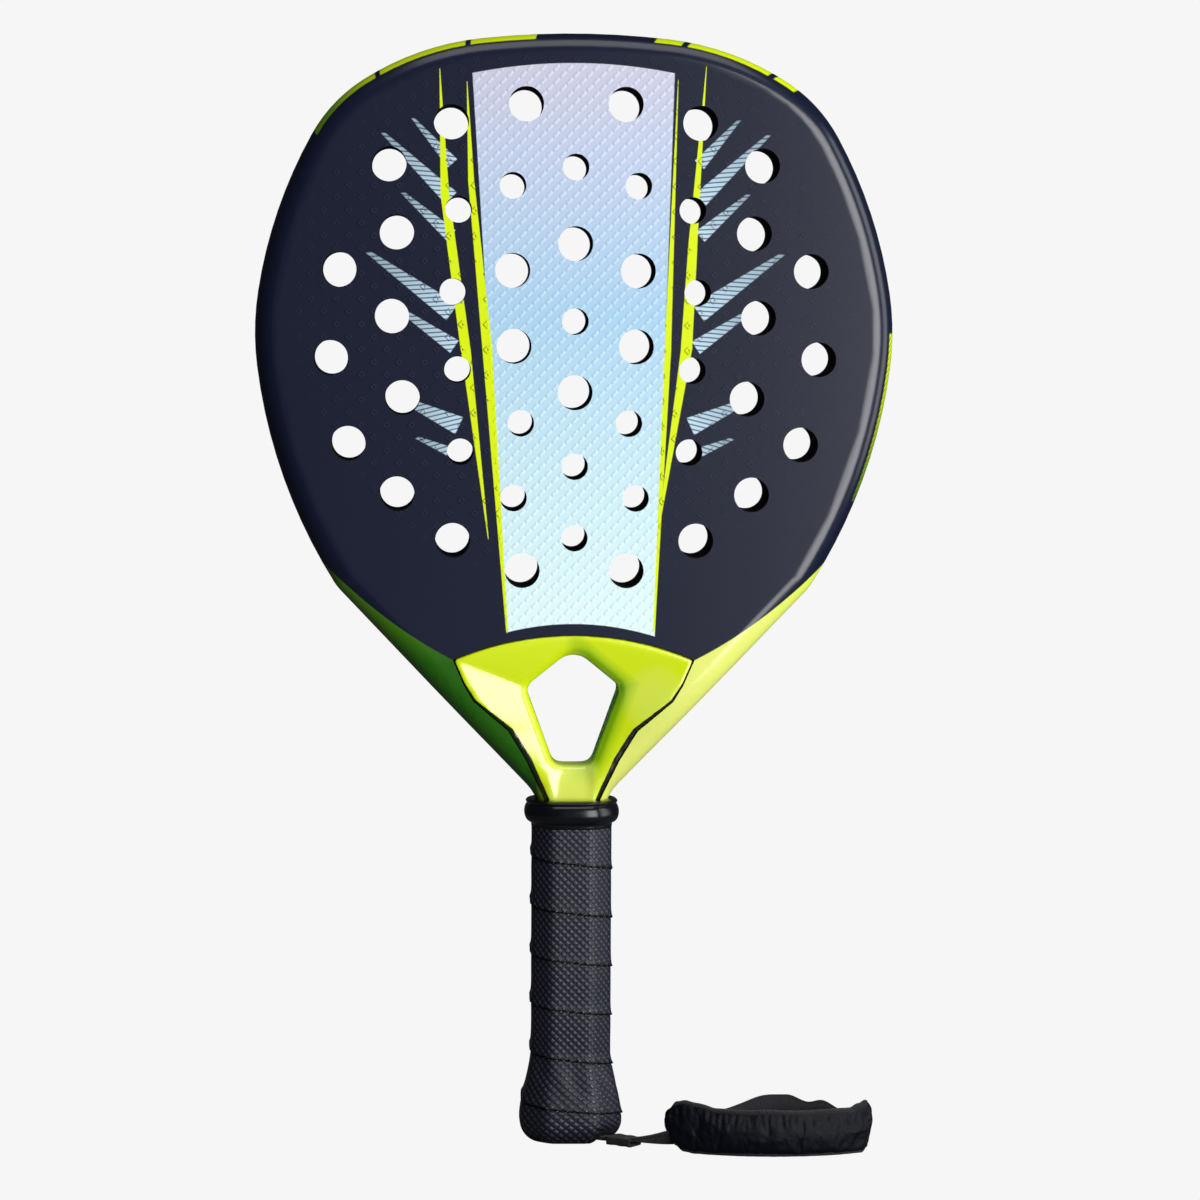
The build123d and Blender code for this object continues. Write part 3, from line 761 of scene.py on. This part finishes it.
def funnel(across, up):
    """How far the heart's surface lies under its rim, in millimetres, sloping to the opening."""
    aside = abs(across)
    (corner_aside, corner_up), (foot_aside, foot_up) = PARTING[0], PARTING[-1]
    run = (corner_aside - foot_aside, corner_up - foot_up)
    offset = (aside - corner_aside, up - corner_up)
    from_side = (run[0] * offset[1] - run[1] * offset[0]) / hypot(*run)
    arch = (heart_high.z - corner_up) / corner_aside
    from_top = (heart_high.z - arch * aside - up) / hypot(1, arch)
    slope = min(max(from_side, 0) * 0.23, max(from_top, 0) * 0.25)
    return slope * ease_between(up, 146, 172)


class RACKET_OT_head(bpy.types.Operator):
    """Lacquers the frame tube, both faces and the foam core"""

    bl_idname = "racket.head"
    bl_label = "Head"

    def execute(self, context):
        settings = context.scene.racket_lacquer
        lacquer = head_lacquer("frame_lacquer", settings)
        shell = copy_of("frame_tube", "frame_shell")
        smooth_by_angle(shell)
        add_modifier(shell, "WEIGHTED_NORMAL", keep_sharp=True)
        finish_piece(shell, RACKET, lacquer, ["frame_tube"])
        face_finish = head_lacquer("face_lacquer", settings)
        dress("front_face", face_finish)
        dress("rear_face", face_finish)
        core = copy_of("foam_core", "core_block")
        smooth_by_angle(core)
        black = foam("eva_foam", paint(9, 10, 15), paint(26, 27, 36))
        finish_piece(core, RACKET, black, ["foam_core"])
        return {"FINISHED"}


class RACKET_OT_throat(bpy.types.Operator):
    """Shapes and lacquers the heart of the throat"""

    bl_idname = "racket.throat"
    bl_label = "Throat"

    def execute(self, context):
        settings = context.scene.racket_lacquer
        heart = copy_of("heart_bridge", "heart_shell")
        add_modifier(heart, "REMESH", mode="VOXEL", voxel_size=0.8 * MM, use_smooth_shade=True)
        parting = heart.data.attributes.new("parting", "FLOAT", "POINT")
        for vertex in heart.data.vertices:
            across, away, up = vertex.co / MM
            parting.data[vertex.index].value = to_parting(across, up)
            depth = half_depth - (half_depth - HEART_FOOT_DEPTH) * ease_between(up, 196, 144)
            vertex.co.y = away * (1 - funnel(across, up) / depth) * MM
        scoop = heart.vertex_groups.new(name="scoop")
        for vertex in heart.data.vertices:
            across, _, up = vertex.co / MM
            soft = (1 - ease_between(abs(across), 10, 15)) * (1 - ease_between(up, 158, 164))
            scoop.add([vertex.index], soft, "REPLACE")
        add_modifier(heart, "SMOOTH", factor=0.5, iterations=5)
        add_modifier(heart, "SMOOTH", factor=0.6, iterations=24, vertex_group="scoop")
        smooth_by_angle(heart, 60)
        lacquer = heart_lacquer("heart_lacquer", settings)
        finish_piece(heart, RACKET, lacquer, ["heart_bridge"])
        return {"FINISHED"}


# ---------------------------------------------------------------- grip
# The handle's four pairs of sides: half the distance between the two, and the way they run, in
# degrees from the front.
GRIP_SIDES = [(16.4, 0.0), (16.99, 45.0), (15.2, 90.0), (16.99, 135.0)]
# The butt's flare: its top, the top of its rounding and how far it stands out, and then how far
# the rounding draws its foot in.
FLARE_TOP, FLARE_HEIGHT, FLARE_GROWTH = 38.0, 9.0, 4.7
BUTT_ROUNDING = 6.6
# Where the strap leaves the butt, and the notch that the tape leaves for it.
STRAP_TURN = atan2(7.79, 6.27)
NOTCH_RADIUS, NOTCH_DEPTH = 17, 3.0
# How sharp the edges between the handle's sides are.
GRIP_CRISP, COLLAR_CRISP = 22, 12
GRIP_COLUMNS = 144
# How far the collar's lip lies under the top of its solid.
LIP_DROP = 2.0


def section(turn, growth=0.0, crisp=GRIP_CRISP):
    """Distance of the eight-sided handle's surface from its axis; turn is from the front."""
    total = 0.0
    for half, facing in GRIP_SIDES:
        total += (abs(sin(turn - radians(facing))) / (half + growth)) ** crisp
    return total ** (-1 / crisp)


def on_handle(share, growth, up, crisp=GRIP_CRISP):
    """A point round the handle: share 0.5 is the front, and it runs to the right."""
    turn = (share - 0.5) * 2 * pi
    reach = section(turn, growth, crisp)
    return reach * sin(turn), -reach * cos(turn), up


def around_table(growth=0.0, steps=360):
    """Distance round the handle at each share of a turn."""
    points = [Vector(on_handle(i / steps, growth, 0)) for i in range(steps + 1)]
    table = [0.0]
    for start, end in zip(points, points[1:]):
        table.append(table[-1] + (end - start).length)
    return table


def from_table(table, share):
    """The table's value at a share of its length, between its two nearest entries."""
    place = min(max(share, 0), 1) * (len(table) - 1)
    low = min(int(place), len(table) - 2)
    return table[low] + (table[low + 1] - table[low]) * (place - low)


def flare(up):
    """How far the butt stands out at a height."""
    if up >= FLARE_TOP:
        return 0.0
    if up <= FLARE_HEIGHT:
        bend = (BUTT_ROUNDING**2 + FLARE_HEIGHT**2) / (2 * BUTT_ROUNDING)
        drop = FLARE_HEIGHT - up
        return FLARE_GROWTH - bend + sqrt(bend**2 - drop**2)
    return FLARE_GROWTH * ease_between(up, FLARE_TOP, FLARE_HEIGHT)


def lap_at(turn, up, pitch):
    """Height over the last lap of the tape, which climbs as it goes round from the right."""
    return (up + 5.5 + pitch * (turn - 0.45 * sin(turn)) / (2 * pi)) % pitch


def tape_relief(turn, up, pitch, step):
    """How far the tape stands out: its laps, its unevenness and its puckers above the butt."""
    lap = lap_at(turn, up, pitch)
    ridge = step * exp(-lap / 1.4) - 0.55 * step * swell(lap - pitch, 0.5)
    sag = 0.12 * noise.noise(Vector((turn * 1.4, up / 9, 0)))
    pucker = sin(turn * 9 + 2.5 * noise.noise(Vector((turn, up / 12, 7))) + up / 7)
    return (ridge + sag) * ease_between(up, 1.5, 9) + 0.2 * pucker * swell(up - 27, 8)


class RACKET_OT_grip(bpy.types.Operator):
    """Wraps the grip, fits the collar ring and finishes the butt"""

    bl_idname = "racket.grip"
    bl_label = "Grip"

    def execute(self, context):
        settings = context.scene.racket_grip
        self.wrap(settings)
        self.ring(settings)
        dress("butt_cap", moulded("cap_plastic", paint(17, 18, 23), 0.42))
        dress("cap_staples", steel("staple_steel"))
        dress("handle_core", foam("handle_foam", paint(38, 38, 40), paint(70, 70, 74)))
        dress("damping_sleeve", foam("sleeve_rubber", paint(16, 16, 18), paint(34, 34, 38)))
        dress("finishing_tape", moulded("vinyl_tape", paint(14, 14, 17), 0.35))
        return {"FINISHED"}

    def wrap(self, settings):
        """One long strip of tape wound up the handle, each turn lapped over the last."""
        pitch = settings.wrap_pitch / MM
        step = settings.wrap_step / MM
        outer = [(flare(up), up) for up in spread(grip_low.z, grip_high.z, 330)]
        profile = [(FLARE_GROWTH - BUTT_ROUNDING - 1.6, grip_low.z)] + outer
        profile += [(-1.9, grip_high.z), (-1.9, 40.0), (0.6, 12.0), (0.0, grip_low.z + 1.2)]
        profile.append(profile[0])
        outer_set = set(outer)

        def place(share, along):
            growth, up = row_of(profile, along)
            turn = (share - 0.5) * 2 * pi
            is_outer = along > 0 and (growth, up) in outer_set
            lift = tape_relief(turn, up, pitch, step) if is_outer else 0.0
            beside = abs(turn - STRAP_TURN) * NOTCH_RADIUS
            notch = (1 - ease_between(beside, 3.4, 8.5)) * (1 - ease_between(up, 0.4, 12))
            return on_handle(share, growth + lift, up + NOTCH_DEPTH * notch)

        grip = wrap_grid("grip_tape", GRIP_COLUMNS, len(profile) - 1, place)
        seam = grip.data.attributes.new("seam", "FLOAT", "POINT")
        for vertex in grip.data.vertices:
            x, y, up = vertex.co / MM
            lap = lap_at(atan2(x, -y), up, pitch)
            seam.data[vertex.index].value = min(lap, pitch - lap)
        round_table = around_table()
        lay_pattern(grip, lambda across, along: (
            from_table(round_table, across),
            row_of(profile, along)[1],
        ))
        close_up(grip)
        smooth_by_angle(grip, 50)
        leather = grip_leather("grip_leather", settings)
        finish_piece(grip, RACKET, leather, ["grip_wrap"])

    def ring(self, settings):
        """The rubber collar: a plain band, a round bead and a lip."""
        foot, top = ring_low.z, ring_high.z - LIP_DROP
        profile = [(-2.2, foot), (0.15, foot), (0.3, foot + 0.2), (0.3, foot + 2.2)]
        for turn in range(-80, 61, 10):
            profile.append((0.6 + 2.6 * cos(radians(turn)), foot + 6.3 + 4.1 * sin(radians(turn))))
        profile += [(2.0, foot + 9.9), (2.3, foot + 10.3), (2.6, foot + 10.9)]
        profile += [(2.5, top - 1.0), (2.1, top - 0.45), (1.3, top - 0.1), (0.4, top), (-6.5, top)]
        profile += [(-6.5, foot + 5.0), profile[0]]

        def place(share, along):
            growth, up = row_of(profile, along)
            return on_handle(share, growth, up, COLLAR_CRISP)

        collar = wrap_grid("collar", GRIP_COLUMNS, len(profile) - 1, place)
        close_up(collar)
        add_modifier(collar, "SUBSURF", levels=1, render_levels=1)
        smooth_by_angle(collar, 60)
        rubber = moulded("ring_rubber", settings.rubber, 0.12)
        finish_piece(collar, RACKET, rubber, ["collar_ring"])


# ---------------------------------------------------------------- wrist strap
# The strap's route: where it leaves the butt, where it turns up, and where it enters the pad.
STRAP_ROUTE = [(8.96, -7.21, 2.35), (31.95, -25.69, 2.35), (44.28, -31.25, 7.35)]
# The way the strap runs from the butt, and its height there.
STRAP_WAY = Vector((0.77934, -0.62660, 0.0))
STRAP_HEIGHT = 2.35


def plain_webbing(name, colour):
    """Webbing on a piece without a flat pattern: its ribs lie across the strap's way."""
    finish = Finish(name)
    x, y, z = finish.place()
    along = x * STRAP_WAY.x + y * STRAP_WAY.y
    across = -(x * STRAP_WAY.y) + y * STRAP_WAY.x
    rib = abs(along.cycle(1.2)).fall(0.34, 0.3)
    wale = abs((across + z).cycle(0.9)).fall(0.28, 0.2)
    fuzz = finish.grain(3.0, 3.0)
    # Raised rib crossings are painted lighter, a painted highlight; the fuzz lightens it at random.
    tone = finish.over(rib * wale * 0.4 + fuzz * 0.25, colour, lighter(colour, 3.0, 0.01))
    return finish.done(
        base_color=tone,
        roughness=0.7 + fuzz * 0.15,
        sheen_weight=0.2,
        normal=finish.bump(rib * wale * 0.2 + fuzz * 0.05, 1.0),
    )


class RACKET_OT_strap(bpy.types.Operator):
    """Weaves the strap and folds its keeper"""

    bl_idname = "racket.strap"
    bl_label = "Strap"

    def execute(self, context):
        settings = context.scene.racket_strap
        self.tail(settings)
        self.keeper(settings)
        dress("strap_root", plain_webbing("webbing_root", settings.webbing))
        return {"FINISHED"}

    def tail(self, settings):
        """The free stretch of webbing, which turns onto its edge before it enters the pad."""
        line = bpy.data.curves.new("strap_tail_webbing", "CURVE")
        line.dimensions = "3D"
        line.twist_mode = "Z_UP"
        spline = line.splines.new("NURBS")
        spline.points.add(len(STRAP_ROUTE) - 1)
        for point, place, tilt in zip(spline.points, STRAP_ROUTE, (90, 90, 4)):
            point.co = (*(Vector(place) * MM), 1.0)
            point.tilt = radians(tilt)
        spline.order_u = 3
        spline.use_endpoint_u = True
        line.resolution_u = 32
        half_wall = settings.wall / 2
        line.bevel_depth = half_wall
        line.bevel_resolution = 3
        line.extrude = settings.width / 2 - half_wall
        line.use_fill_caps = True
        tail = bpy.data.objects.new("strap_tail_webbing", line)
        bpy.context.scene.collection.objects.link(tail)
        webbing = plain_webbing("webbing_tail", settings.webbing)
        finish_piece(tail, RACKET, webbing, ["strap_tail"])

    def keeper(self, settings):
        """A keeper of folded cloth, sewn shut, that slides along the webbing."""
        start, length = 21.8, 11.6
        half_wide, half_tall = 4.6, 1.9
        up = Vector((0, 0, 1))
        level = STRAP_WAY.cross(up)

        profile = [(0.0, 0.85), (0.0, 0.2), (0.12, 0.0)]
        profile += [(d, 0.0) for d in spread(0.6, length - 0.6, 22)]
        profile += [(length - 0.12, 0.0), (length, 0.2), (length, 0.85)]
        profile += [(length - 1.0, 0.9), (1.0, 0.9), (0.0, 0.85)]

        def place(share, along):
            distance, inset = row_of(profile, along)
            fold = 0.1 * sin(distance * 1.1) + 0.12 * noise.noise(Vector((share * 9, distance / 3, 5)))
            growth = (fold if inset < 0.5 else 0.0) - 0.1 - inset
            turn = share * 2 * pi
            reach = rounded_reach(turn, half_wide + growth, half_tall + growth, 7)
            middle = STRAP_WAY * (start + distance) + up * STRAP_HEIGHT
            return middle + level * reach * cos(turn) + up * reach * sin(turn)

        keeper = wrap_grid("keeper_loop", 64, len(profile) - 1, place)
        lay_pattern(keeper, lambda across, along: (across * 24, row_of(profile, along)[0]))
        close_up(keeper)
        smooth_by_angle(keeper, 60)
        cloth = woven("keeper_cloth", settings.keeper_cloth, 0.8, sheen=0.1, wale=0.7)
        finish_piece(keeper, KEEPER, cloth, ["strap_keeper"])


# ---------------------------------------------------------------- wrist pad
# The pad lies along an arc, which starts and ends at these degrees from the front.
PAD_CENTRE = (82.7, 38.0)
PAD_RADIUS = 79.2
PAD_START, PAD_END = -34.4, 30.1
PAD_WALL = 6.2
PAD_LENGTH = radians(PAD_END - PAD_START) * PAD_RADIUS
PATTERN_LENGTH = 84.0
# The pad's least height over the floor, and the frames in which its cloth settles.
FLOOR_GAP = 0.25
SETTLING_FRAMES = 20


def on_pad(share, outset, up):
    """A point at a share of the pad's length, with its outset from the pad's middle curve."""
    angle = radians(270 + PAD_START + (PAD_END - PAD_START) * share)
    reach = PAD_RADIUS + outset
    return Vector((PAD_CENTRE[0] + reach * cos(angle), PAD_CENTRE[1] + reach * sin(angle), up))


# Height of the pad's top and of its foot at shares of its length, from the strap's end.
TOP_EDGE = [
    (0.0, 16.4), (0.03, 18.0), (0.06, 20.6), (0.1, 21.3), (0.16, 20.6), (0.26, 18.9), (0.4, 18.6),
    (0.5, 18.9), (0.64, 18.5), (0.82, 18.8), (0.88, 18.7), (0.93, 20.2), (0.965, 21.4), (1.0, 18.4),
]
FOOT_EDGE = [
    (0.0, 9.4), (0.03, 7.0), (0.06, 3.2), (0.1, 0.9), (0.16, 0.4), (0.5, 0.4), (0.8, 0.4),
    (0.94, 0.5), (0.965, 2.6), (0.985, 6.6), (1.0, 11.6),
]
# Height of the band's top, from the strap's end.
BAND_EDGE = [
    (0.0, 14.6), (0.2, 15.6), (0.5, 21.1), (0.58, 21.0), (0.7, 18.4), (0.77, 19.4), (0.9, 15.6),
    (1.0, 14.8),
]


def along_edge(edge, share):
    """Height of one of the pad's edges at a share of its length."""
    for (start, low), (end, high) in zip(edge, edge[1:]):
        if share <= end:
            return low + (high - low) * ease_between(share, start, end)
    return edge[-1][1]


def pad_share(point):
    """Where a point of the pad lies, from 0 at the strap's end to 1, and its reach in mm."""
    x, y = point.x / MM - PAD_CENTRE[0], point.y / MM - PAD_CENTRE[1]
    turn = degrees(atan2(y, x)) + 90
    return (turn - PAD_START) / (PAD_END - PAD_START), hypot(x, y)


def from_edges(point, share):
    """How far a point of the pad lies under its top edge and over its foot."""
    up = point.z / MM
    return along_edge(TOP_EDGE, share) - up, up - along_edge(FOOT_EDGE, share)


def plump(piece, hold, pressure, cap):
    """Swells a piece as cloth that is held along its seams; no point moves further than cap."""
    settled = [vertex.co.copy() for vertex in piece.data.vertices]
    seams = piece.vertex_groups.new(name="seams")
    for vertex in piece.data.vertices:
        seams.add([vertex.index], hold(vertex.co), "REPLACE")
    choose(piece)
    modifier = piece.modifiers.new("Cloth", "CLOTH")
    modifier.settings.use_pressure = True
    modifier.settings.uniform_pressure_force = pressure
    modifier.settings.vertex_group_mass = "seams"
    modifier.settings.shrink_min = -0.025
    modifier.settings.effector_weights.gravity = 0
    for moment in range(1, SETTLING_FRAMES + 1):
        bpy.context.scene.frame_set(moment)
    bpy.ops.object.modifier_apply(modifier=modifier.name)
    for vertex, rest in zip(piece.data.vertices, settled):
        move = vertex.co - rest
        if move.length > cap * MM:
            vertex.co = rest + move.normalized() * cap * MM
    bpy.context.scene.frame_set(1)


class RACKET_OT_cuff(bpy.types.Operator):
    """Sews the wrist cuff: its pad, its lining, its piping and its band"""

    bl_idname = "racket.cuff"
    bl_label = "Wrist cuff"

    def execute(self, context):
        settings = context.scene.racket_cuff
        pad = self.pad(settings)
        self.lining(settings, pad)
        self.piping(settings)
        self.band(settings)
        return {"FINISHED"}

    def pad(self, settings):
        """A pad of satin over foam, gathered along both long edges."""

        def place(share, along):
            angle = share * 2 * pi
            low, high = along_edge(FOOT_EDGE, along), along_edge(TOP_EDGE, along)
            end = min(1.0, (1 - abs(along - 0.5) * 2) * 9)
            close = sqrt(max(0.0, 1 - (1 - end) ** 2))
            wide = max(PAD_WALL / 2 * close, 0.25)
            reach = rounded_reach(angle, wide, (high - low) / 2, 2.5)
            return on_pad(along, reach * cos(angle), (low + high) / 2 + reach * sin(angle))

        def hold(point):
            share = pad_share(point)[0]
            from_end = min(share, 1 - share) * PAD_LENGTH
            return 1.0 if min(from_edges(point, share)) < 0.5 or from_end < 0.7 else 0.0

        pad = wrap_grid("cuff_pad", 56, 150, place)
        close_up(pad, capped=True)
        plump(pad, hold, pressure=4.0, cap=1.1)
        for vertex in pad.data.vertices:
            share, reach = pad_share(vertex.co)
            under, over = from_edges(vertex.co, share)
            gather = sin(share * 190 + 1.5 * sin(share * 23)) * swell(under - 3.6, 2.0)
            gather += 0.6 * sin(share * 140 + 2 * sin(share * 17)) * swell(over - 2.6, 1.6)
            crease = noise.noise(Vector((share * 26, vertex.co.z / MM / 7, reach))) * 0.3
            seam = swell(under - 2.2, 0.5) * 0.5
            lift = gather * 0.2 + crease * ease_between(min(under, over), 0.6, 3) - seam
            away = 1 if reach > PAD_RADIUS else -1
            out = Vector((vertex.co.x / MM - PAD_CENTRE[0], vertex.co.y / MM - PAD_CENTRE[1], 0))
            vertex.co += out.normalized() * away * lift * MM
            vertex.co.z = max(vertex.co.z, FLOOR_GAP * MM)
        lay_flat(pad)
        add_modifier(pad, "SUBSURF", levels=1, render_levels=1)
        smooth_by_angle(pad, 80)
        satin_cloth = satin("cuff_satin", settings.satin)
        finish_piece(pad, RACKET, satin_cloth, ["cuff_cover", "cuff_foam"])
        return pad

    def lining(self, settings, pad):
        """Brushed cloth over the side of the pad that lies on the wrist."""
        lining = bpy.data.objects.new("lining_patch", pad.data.copy())
        lining.data.name = "lining_patch"
        bpy.context.scene.collection.objects.link(lining)
        shape = bmesh.new()
        shape.from_mesh(lining.data)
        spare = []
        for face in shape.faces:
            centre = face.calc_center_median()
            share, reach = pad_share(centre)
            under, over = from_edges(centre, share)
            inside = reach < PAD_RADIUS - 0.6 and 0.03 < share < 0.97
            if not (inside and under > 2.4 and over > 2.2):
                spare.append(face)
        bmesh.ops.delete(shape, geom=spare, context="FACES")
        shape.to_mesh(lining.data)
        shape.free()
        add_modifier(lining, "SOLIDIFY", thickness=0.45 * MM, offset=0.6)
        smooth_by_angle(lining, 60)
        cloth = woven("cuff_lining", settings.lining, 0.9, sheen=0.4, wale=0.7)
        finish_piece(lining, RACKET, cloth, ["cuff_lining"])

    def piping(self, settings):
        """Tape folded over the pad's two long edges and sewn through."""
        tapes = []
        for name, edge, drop in (("top", TOP_EDGE, -0.75), ("foot", FOOT_EDGE, 0.75)):
            def place(share, along):
                spot = 0.035 + along * 0.93
                angle = share * 2 * pi
                wave = 0.12 * noise.noise(Vector((spot * 30, angle, drop)))
                up = along_edge(edge, spot) + drop + (1.15 + wave) * sin(angle)
                return on_pad(spot, (1.75 + wave) * cos(angle), max(up, 0.15))

            tape = wrap_grid("piping_" + name, 18, 150, place)
            lay_pattern(tape, lambda across, along: (along * 78, across * 9))
            close_up(tape, capped=True)
            tapes.append(tape)
        choose(tapes[0])
        tapes[1].select_set(True)
        bpy.ops.object.join()
        tapes[0].name = "piping"
        smooth_by_angle(tapes[0], 60)
        cloth = woven("cuff_piping", settings.lining, 0.7, sheen=0.15, wale=0.6)
        finish_piece(tapes[0], RACKET, cloth, ["cuff_binding"])

    def band(self, settings):
        """A ribbed band behind the wrist, higher than the pad in its middle."""
        start, end = band_low.x + 0.4, band_high.x - 0.4
        front, bow = -29.2, 14.2
        low, wall = 1.2, 1.6

        def place(share, along):
            lean = (along - 0.5) * 2
            angle = share * 2 * pi
            high = along_edge(BAND_EDGE, along) + 0.25 * noise.noise(Vector((along * 9, 3, 1)))
            reach = rounded_reach(angle, wall / 2, (high - low) / 2, 6)
            x, y = start + (end - start) * along, front + bow * (1 - lean * lean)
            side = Vector((end - start, -4 * bow * lean, 0)).normalized().cross(Vector((0, 0, 1)))
            middle = Vector((x, y, (low + high) / 2))
            return middle + side * reach * cos(angle) + Vector((0, 0, reach * sin(angle)))

        band = wrap_grid("wrist_band", 48, 120, place)
        lay_pattern(band, lambda across, along: (across * 38, along * 80))
        close_up(band)
        smooth_by_angle(band, 60)
        cloth = woven("band_webbing", settings.ribbed, 1.9, wale=0.9)
        finish_piece(band, RACKET, cloth, ["cuff_band"])


def lay_flat(pad):
    """Sets the pad's flat pattern from where each point lies along it and up it."""
    layer = pad.data.uv_layers[0]
    layer.name = "UVMap"
    for loop in pad.data.loops:
        point = pad.data.vertices[loop.vertex_index].co
        share = pad_share(point)[0]
        layer.data[loop.index].uv = (share * PATTERN_LENGTH / PATTERN_UNIT, point.z / MM / PATTERN_UNIT)


# ---------------------------------------------------------------- stage
# The camera's place in metres, its turns in degrees and its lens in millimetres.
CAMERA_PLACE = (-0.062813, -1.838222, 0.349879)
CAMERA_YAW, CAMERA_PITCH, CAMERA_ROLL = 2.310, -3.917, 0.29
CAMERA_LENS = 134.4


def soft_light(name, place, aim, size, power, glossy=True):
    """Adds a rectangular soft light that points at a place."""
    lamp = bpy.data.lights.new(name, "AREA")
    lamp.shape = "RECTANGLE"
    lamp.size, lamp.size_y = size
    lamp.energy = power
    light = bpy.data.objects.new(name, lamp)
    bpy.context.scene.collection.objects.link(light)
    light.location = place
    light.rotation_euler = (Vector(aim) - Vector(place)).to_track_quat("-Z", "Y").to_euler()
    light.visible_glossy = glossy


class RACKET_OT_stage(bpy.types.Operator):
    """Sets the pale floor, the soft studio lights and the camera"""

    bl_idname = "racket.stage"
    bl_label = "Stage"

    def execute(self, context):
        scene = context.scene
        pale = scene.racket_stage.pale
        scene.view_settings.view_transform = "Standard"
        scene.view_settings.look = "None"
        self.camera(scene)
        self.floor(pale)
        self.surroundings(scene, pale)
        aim = (0, 0, 0.3)
        soft_light("key_light", (1.0, -1.62, 0.32), aim, (1.2, 1.9), 44)
        soft_light("side_light", (1.7, -0.3, 0.5), aim, (0.7, 1.6), 9)
        soft_light("top_light", (0.1, -0.6, 1.9), aim, (1.4, 1.0), 9)
        soft_light("rear_light", (0.3, 1.9, 1.1), aim, (1.3, 1.0), 26, glossy=False)
        return {"FINISHED"}

    def camera(self, scene):
        """A long lens that stands level with the head."""
        lens = bpy.data.cameras.new("camera")
        lens.lens = CAMERA_LENS
        lens.sensor_width = 36
        lens.clip_end = 50
        camera = bpy.data.objects.new("camera", lens)
        scene.collection.objects.link(camera)
        turn = Matrix.Rotation(-radians(CAMERA_YAW), 4, "Z")
        tip = Matrix.Rotation(radians(90 + CAMERA_PITCH), 4, "X")
        roll = Matrix.Rotation(radians(CAMERA_ROLL), 4, "Z")
        camera.matrix_world = Matrix.Translation(CAMERA_PLACE) @ turn @ tip @ roll
        scene.camera = camera

    def floor(self, pale):
        """Paper that the camera sees as pale as the backdrop, and that reflects as a grey."""
        clear_selection()
        bpy.ops.mesh.primitive_circle_add(vertices=96, radius=0.5, fill_type="NGON")
        floor = bpy.context.object
        floor.name = "floor"
        finish = Finish("floor_paper")
        seen = Wire(finish, finish.node("LightPath").outputs["Is Camera Ray"])
        finish.done(base_color=paint(96, 96, 96), roughness=0.9, specular_ior_level=0.1)
        glow = finish.node("Emission", {"Color": pale, "Strength": 1.0})
        mix = finish.node("MixShader", (seen, finish.shader.outputs[0], glow.outputs[0]))
        finish.put(finish.tree.nodes["Material Output"].inputs["Surface"], mix.outputs[0])
        floor.data.materials.append(finish.material)

    def surroundings(self, scene, pale):
        """A faint bluish sky as light, and the pale backdrop that the camera sees."""
        world = bpy.data.worlds.new("studio")
        world.use_nodes = True
        scene.world = world
        tree = world.node_tree
        ground = tree.nodes["Background"]
        ground.inputs["Color"].default_value = (0.75, 0.8, 0.9, 1.0)
        ground.inputs["Strength"].default_value = 0.04
        seen = tree.nodes.new("ShaderNodeBackground")
        seen.inputs["Color"].default_value = (*pale, 1.0)
        path = tree.nodes.new("ShaderNodeLightPath")
        mix = tree.nodes.new("ShaderNodeMixShader")
        tree.links.new(path.outputs["Is Camera Ray"], mix.inputs[0])
        tree.links.new(ground.outputs[0], mix.inputs[1])
        tree.links.new(seen.outputs[0], mix.inputs[2])
        tree.links.new(mix.outputs[0], tree.nodes["World Output"].inputs["Surface"])


# ---------------------------------------------------------------- panel and registration
STEPS = ("stage", "head", "throat", "grip", "cuff", "strap")


class RACKET_PT_finish(bpy.types.Panel):
    """The racket's steps and settings"""

    bl_idname = "RACKET_PT_finish"
    bl_label = "Racket finish"
    bl_space_type = "VIEW_3D"
    bl_region_type = "UI"
    bl_category = "Racket"

    def draw(self, context):
        column = self.layout.column()
        for step in STEPS:
            column.operator("racket." + step)
        for name in SETTINGS:
            group = getattr(context.scene, name)
            column.separator()
            for setting in group.bl_rna.properties.keys()[1:]:
                if setting != "name":
                    column.prop(group, setting)


SETTINGS = {
    "racket_lacquer": LacquerSettings,
    "racket_grip": GripSettings,
    "racket_strap": StrapSettings,
    "racket_cuff": CuffSettings,
    "racket_stage": StageSettings,
}
OPERATORS = (
    RACKET_OT_stage,
    RACKET_OT_head,
    RACKET_OT_throat,
    RACKET_OT_grip,
    RACKET_OT_cuff,
    RACKET_OT_strap,
)


def register():
    for group in (*SETTINGS.values(), *OPERATORS, RACKET_PT_finish):
        bpy.utils.register_class(group)
    for name, group in SETTINGS.items():
        setattr(bpy.types.Scene, name, PointerProperty(type=group))


def unregister():
    for name in SETTINGS:
        delattr(bpy.types.Scene, name)
    for group in reversed((*SETTINGS.values(), *OPERATORS, RACKET_PT_finish)):
        bpy.utils.unregister_class(group)


def main():
    """Makes the whole racket."""
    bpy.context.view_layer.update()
    register()
    for step in STEPS:
        getattr(bpy.ops.racket, step)()


if __name__ == "__main__":
    main()
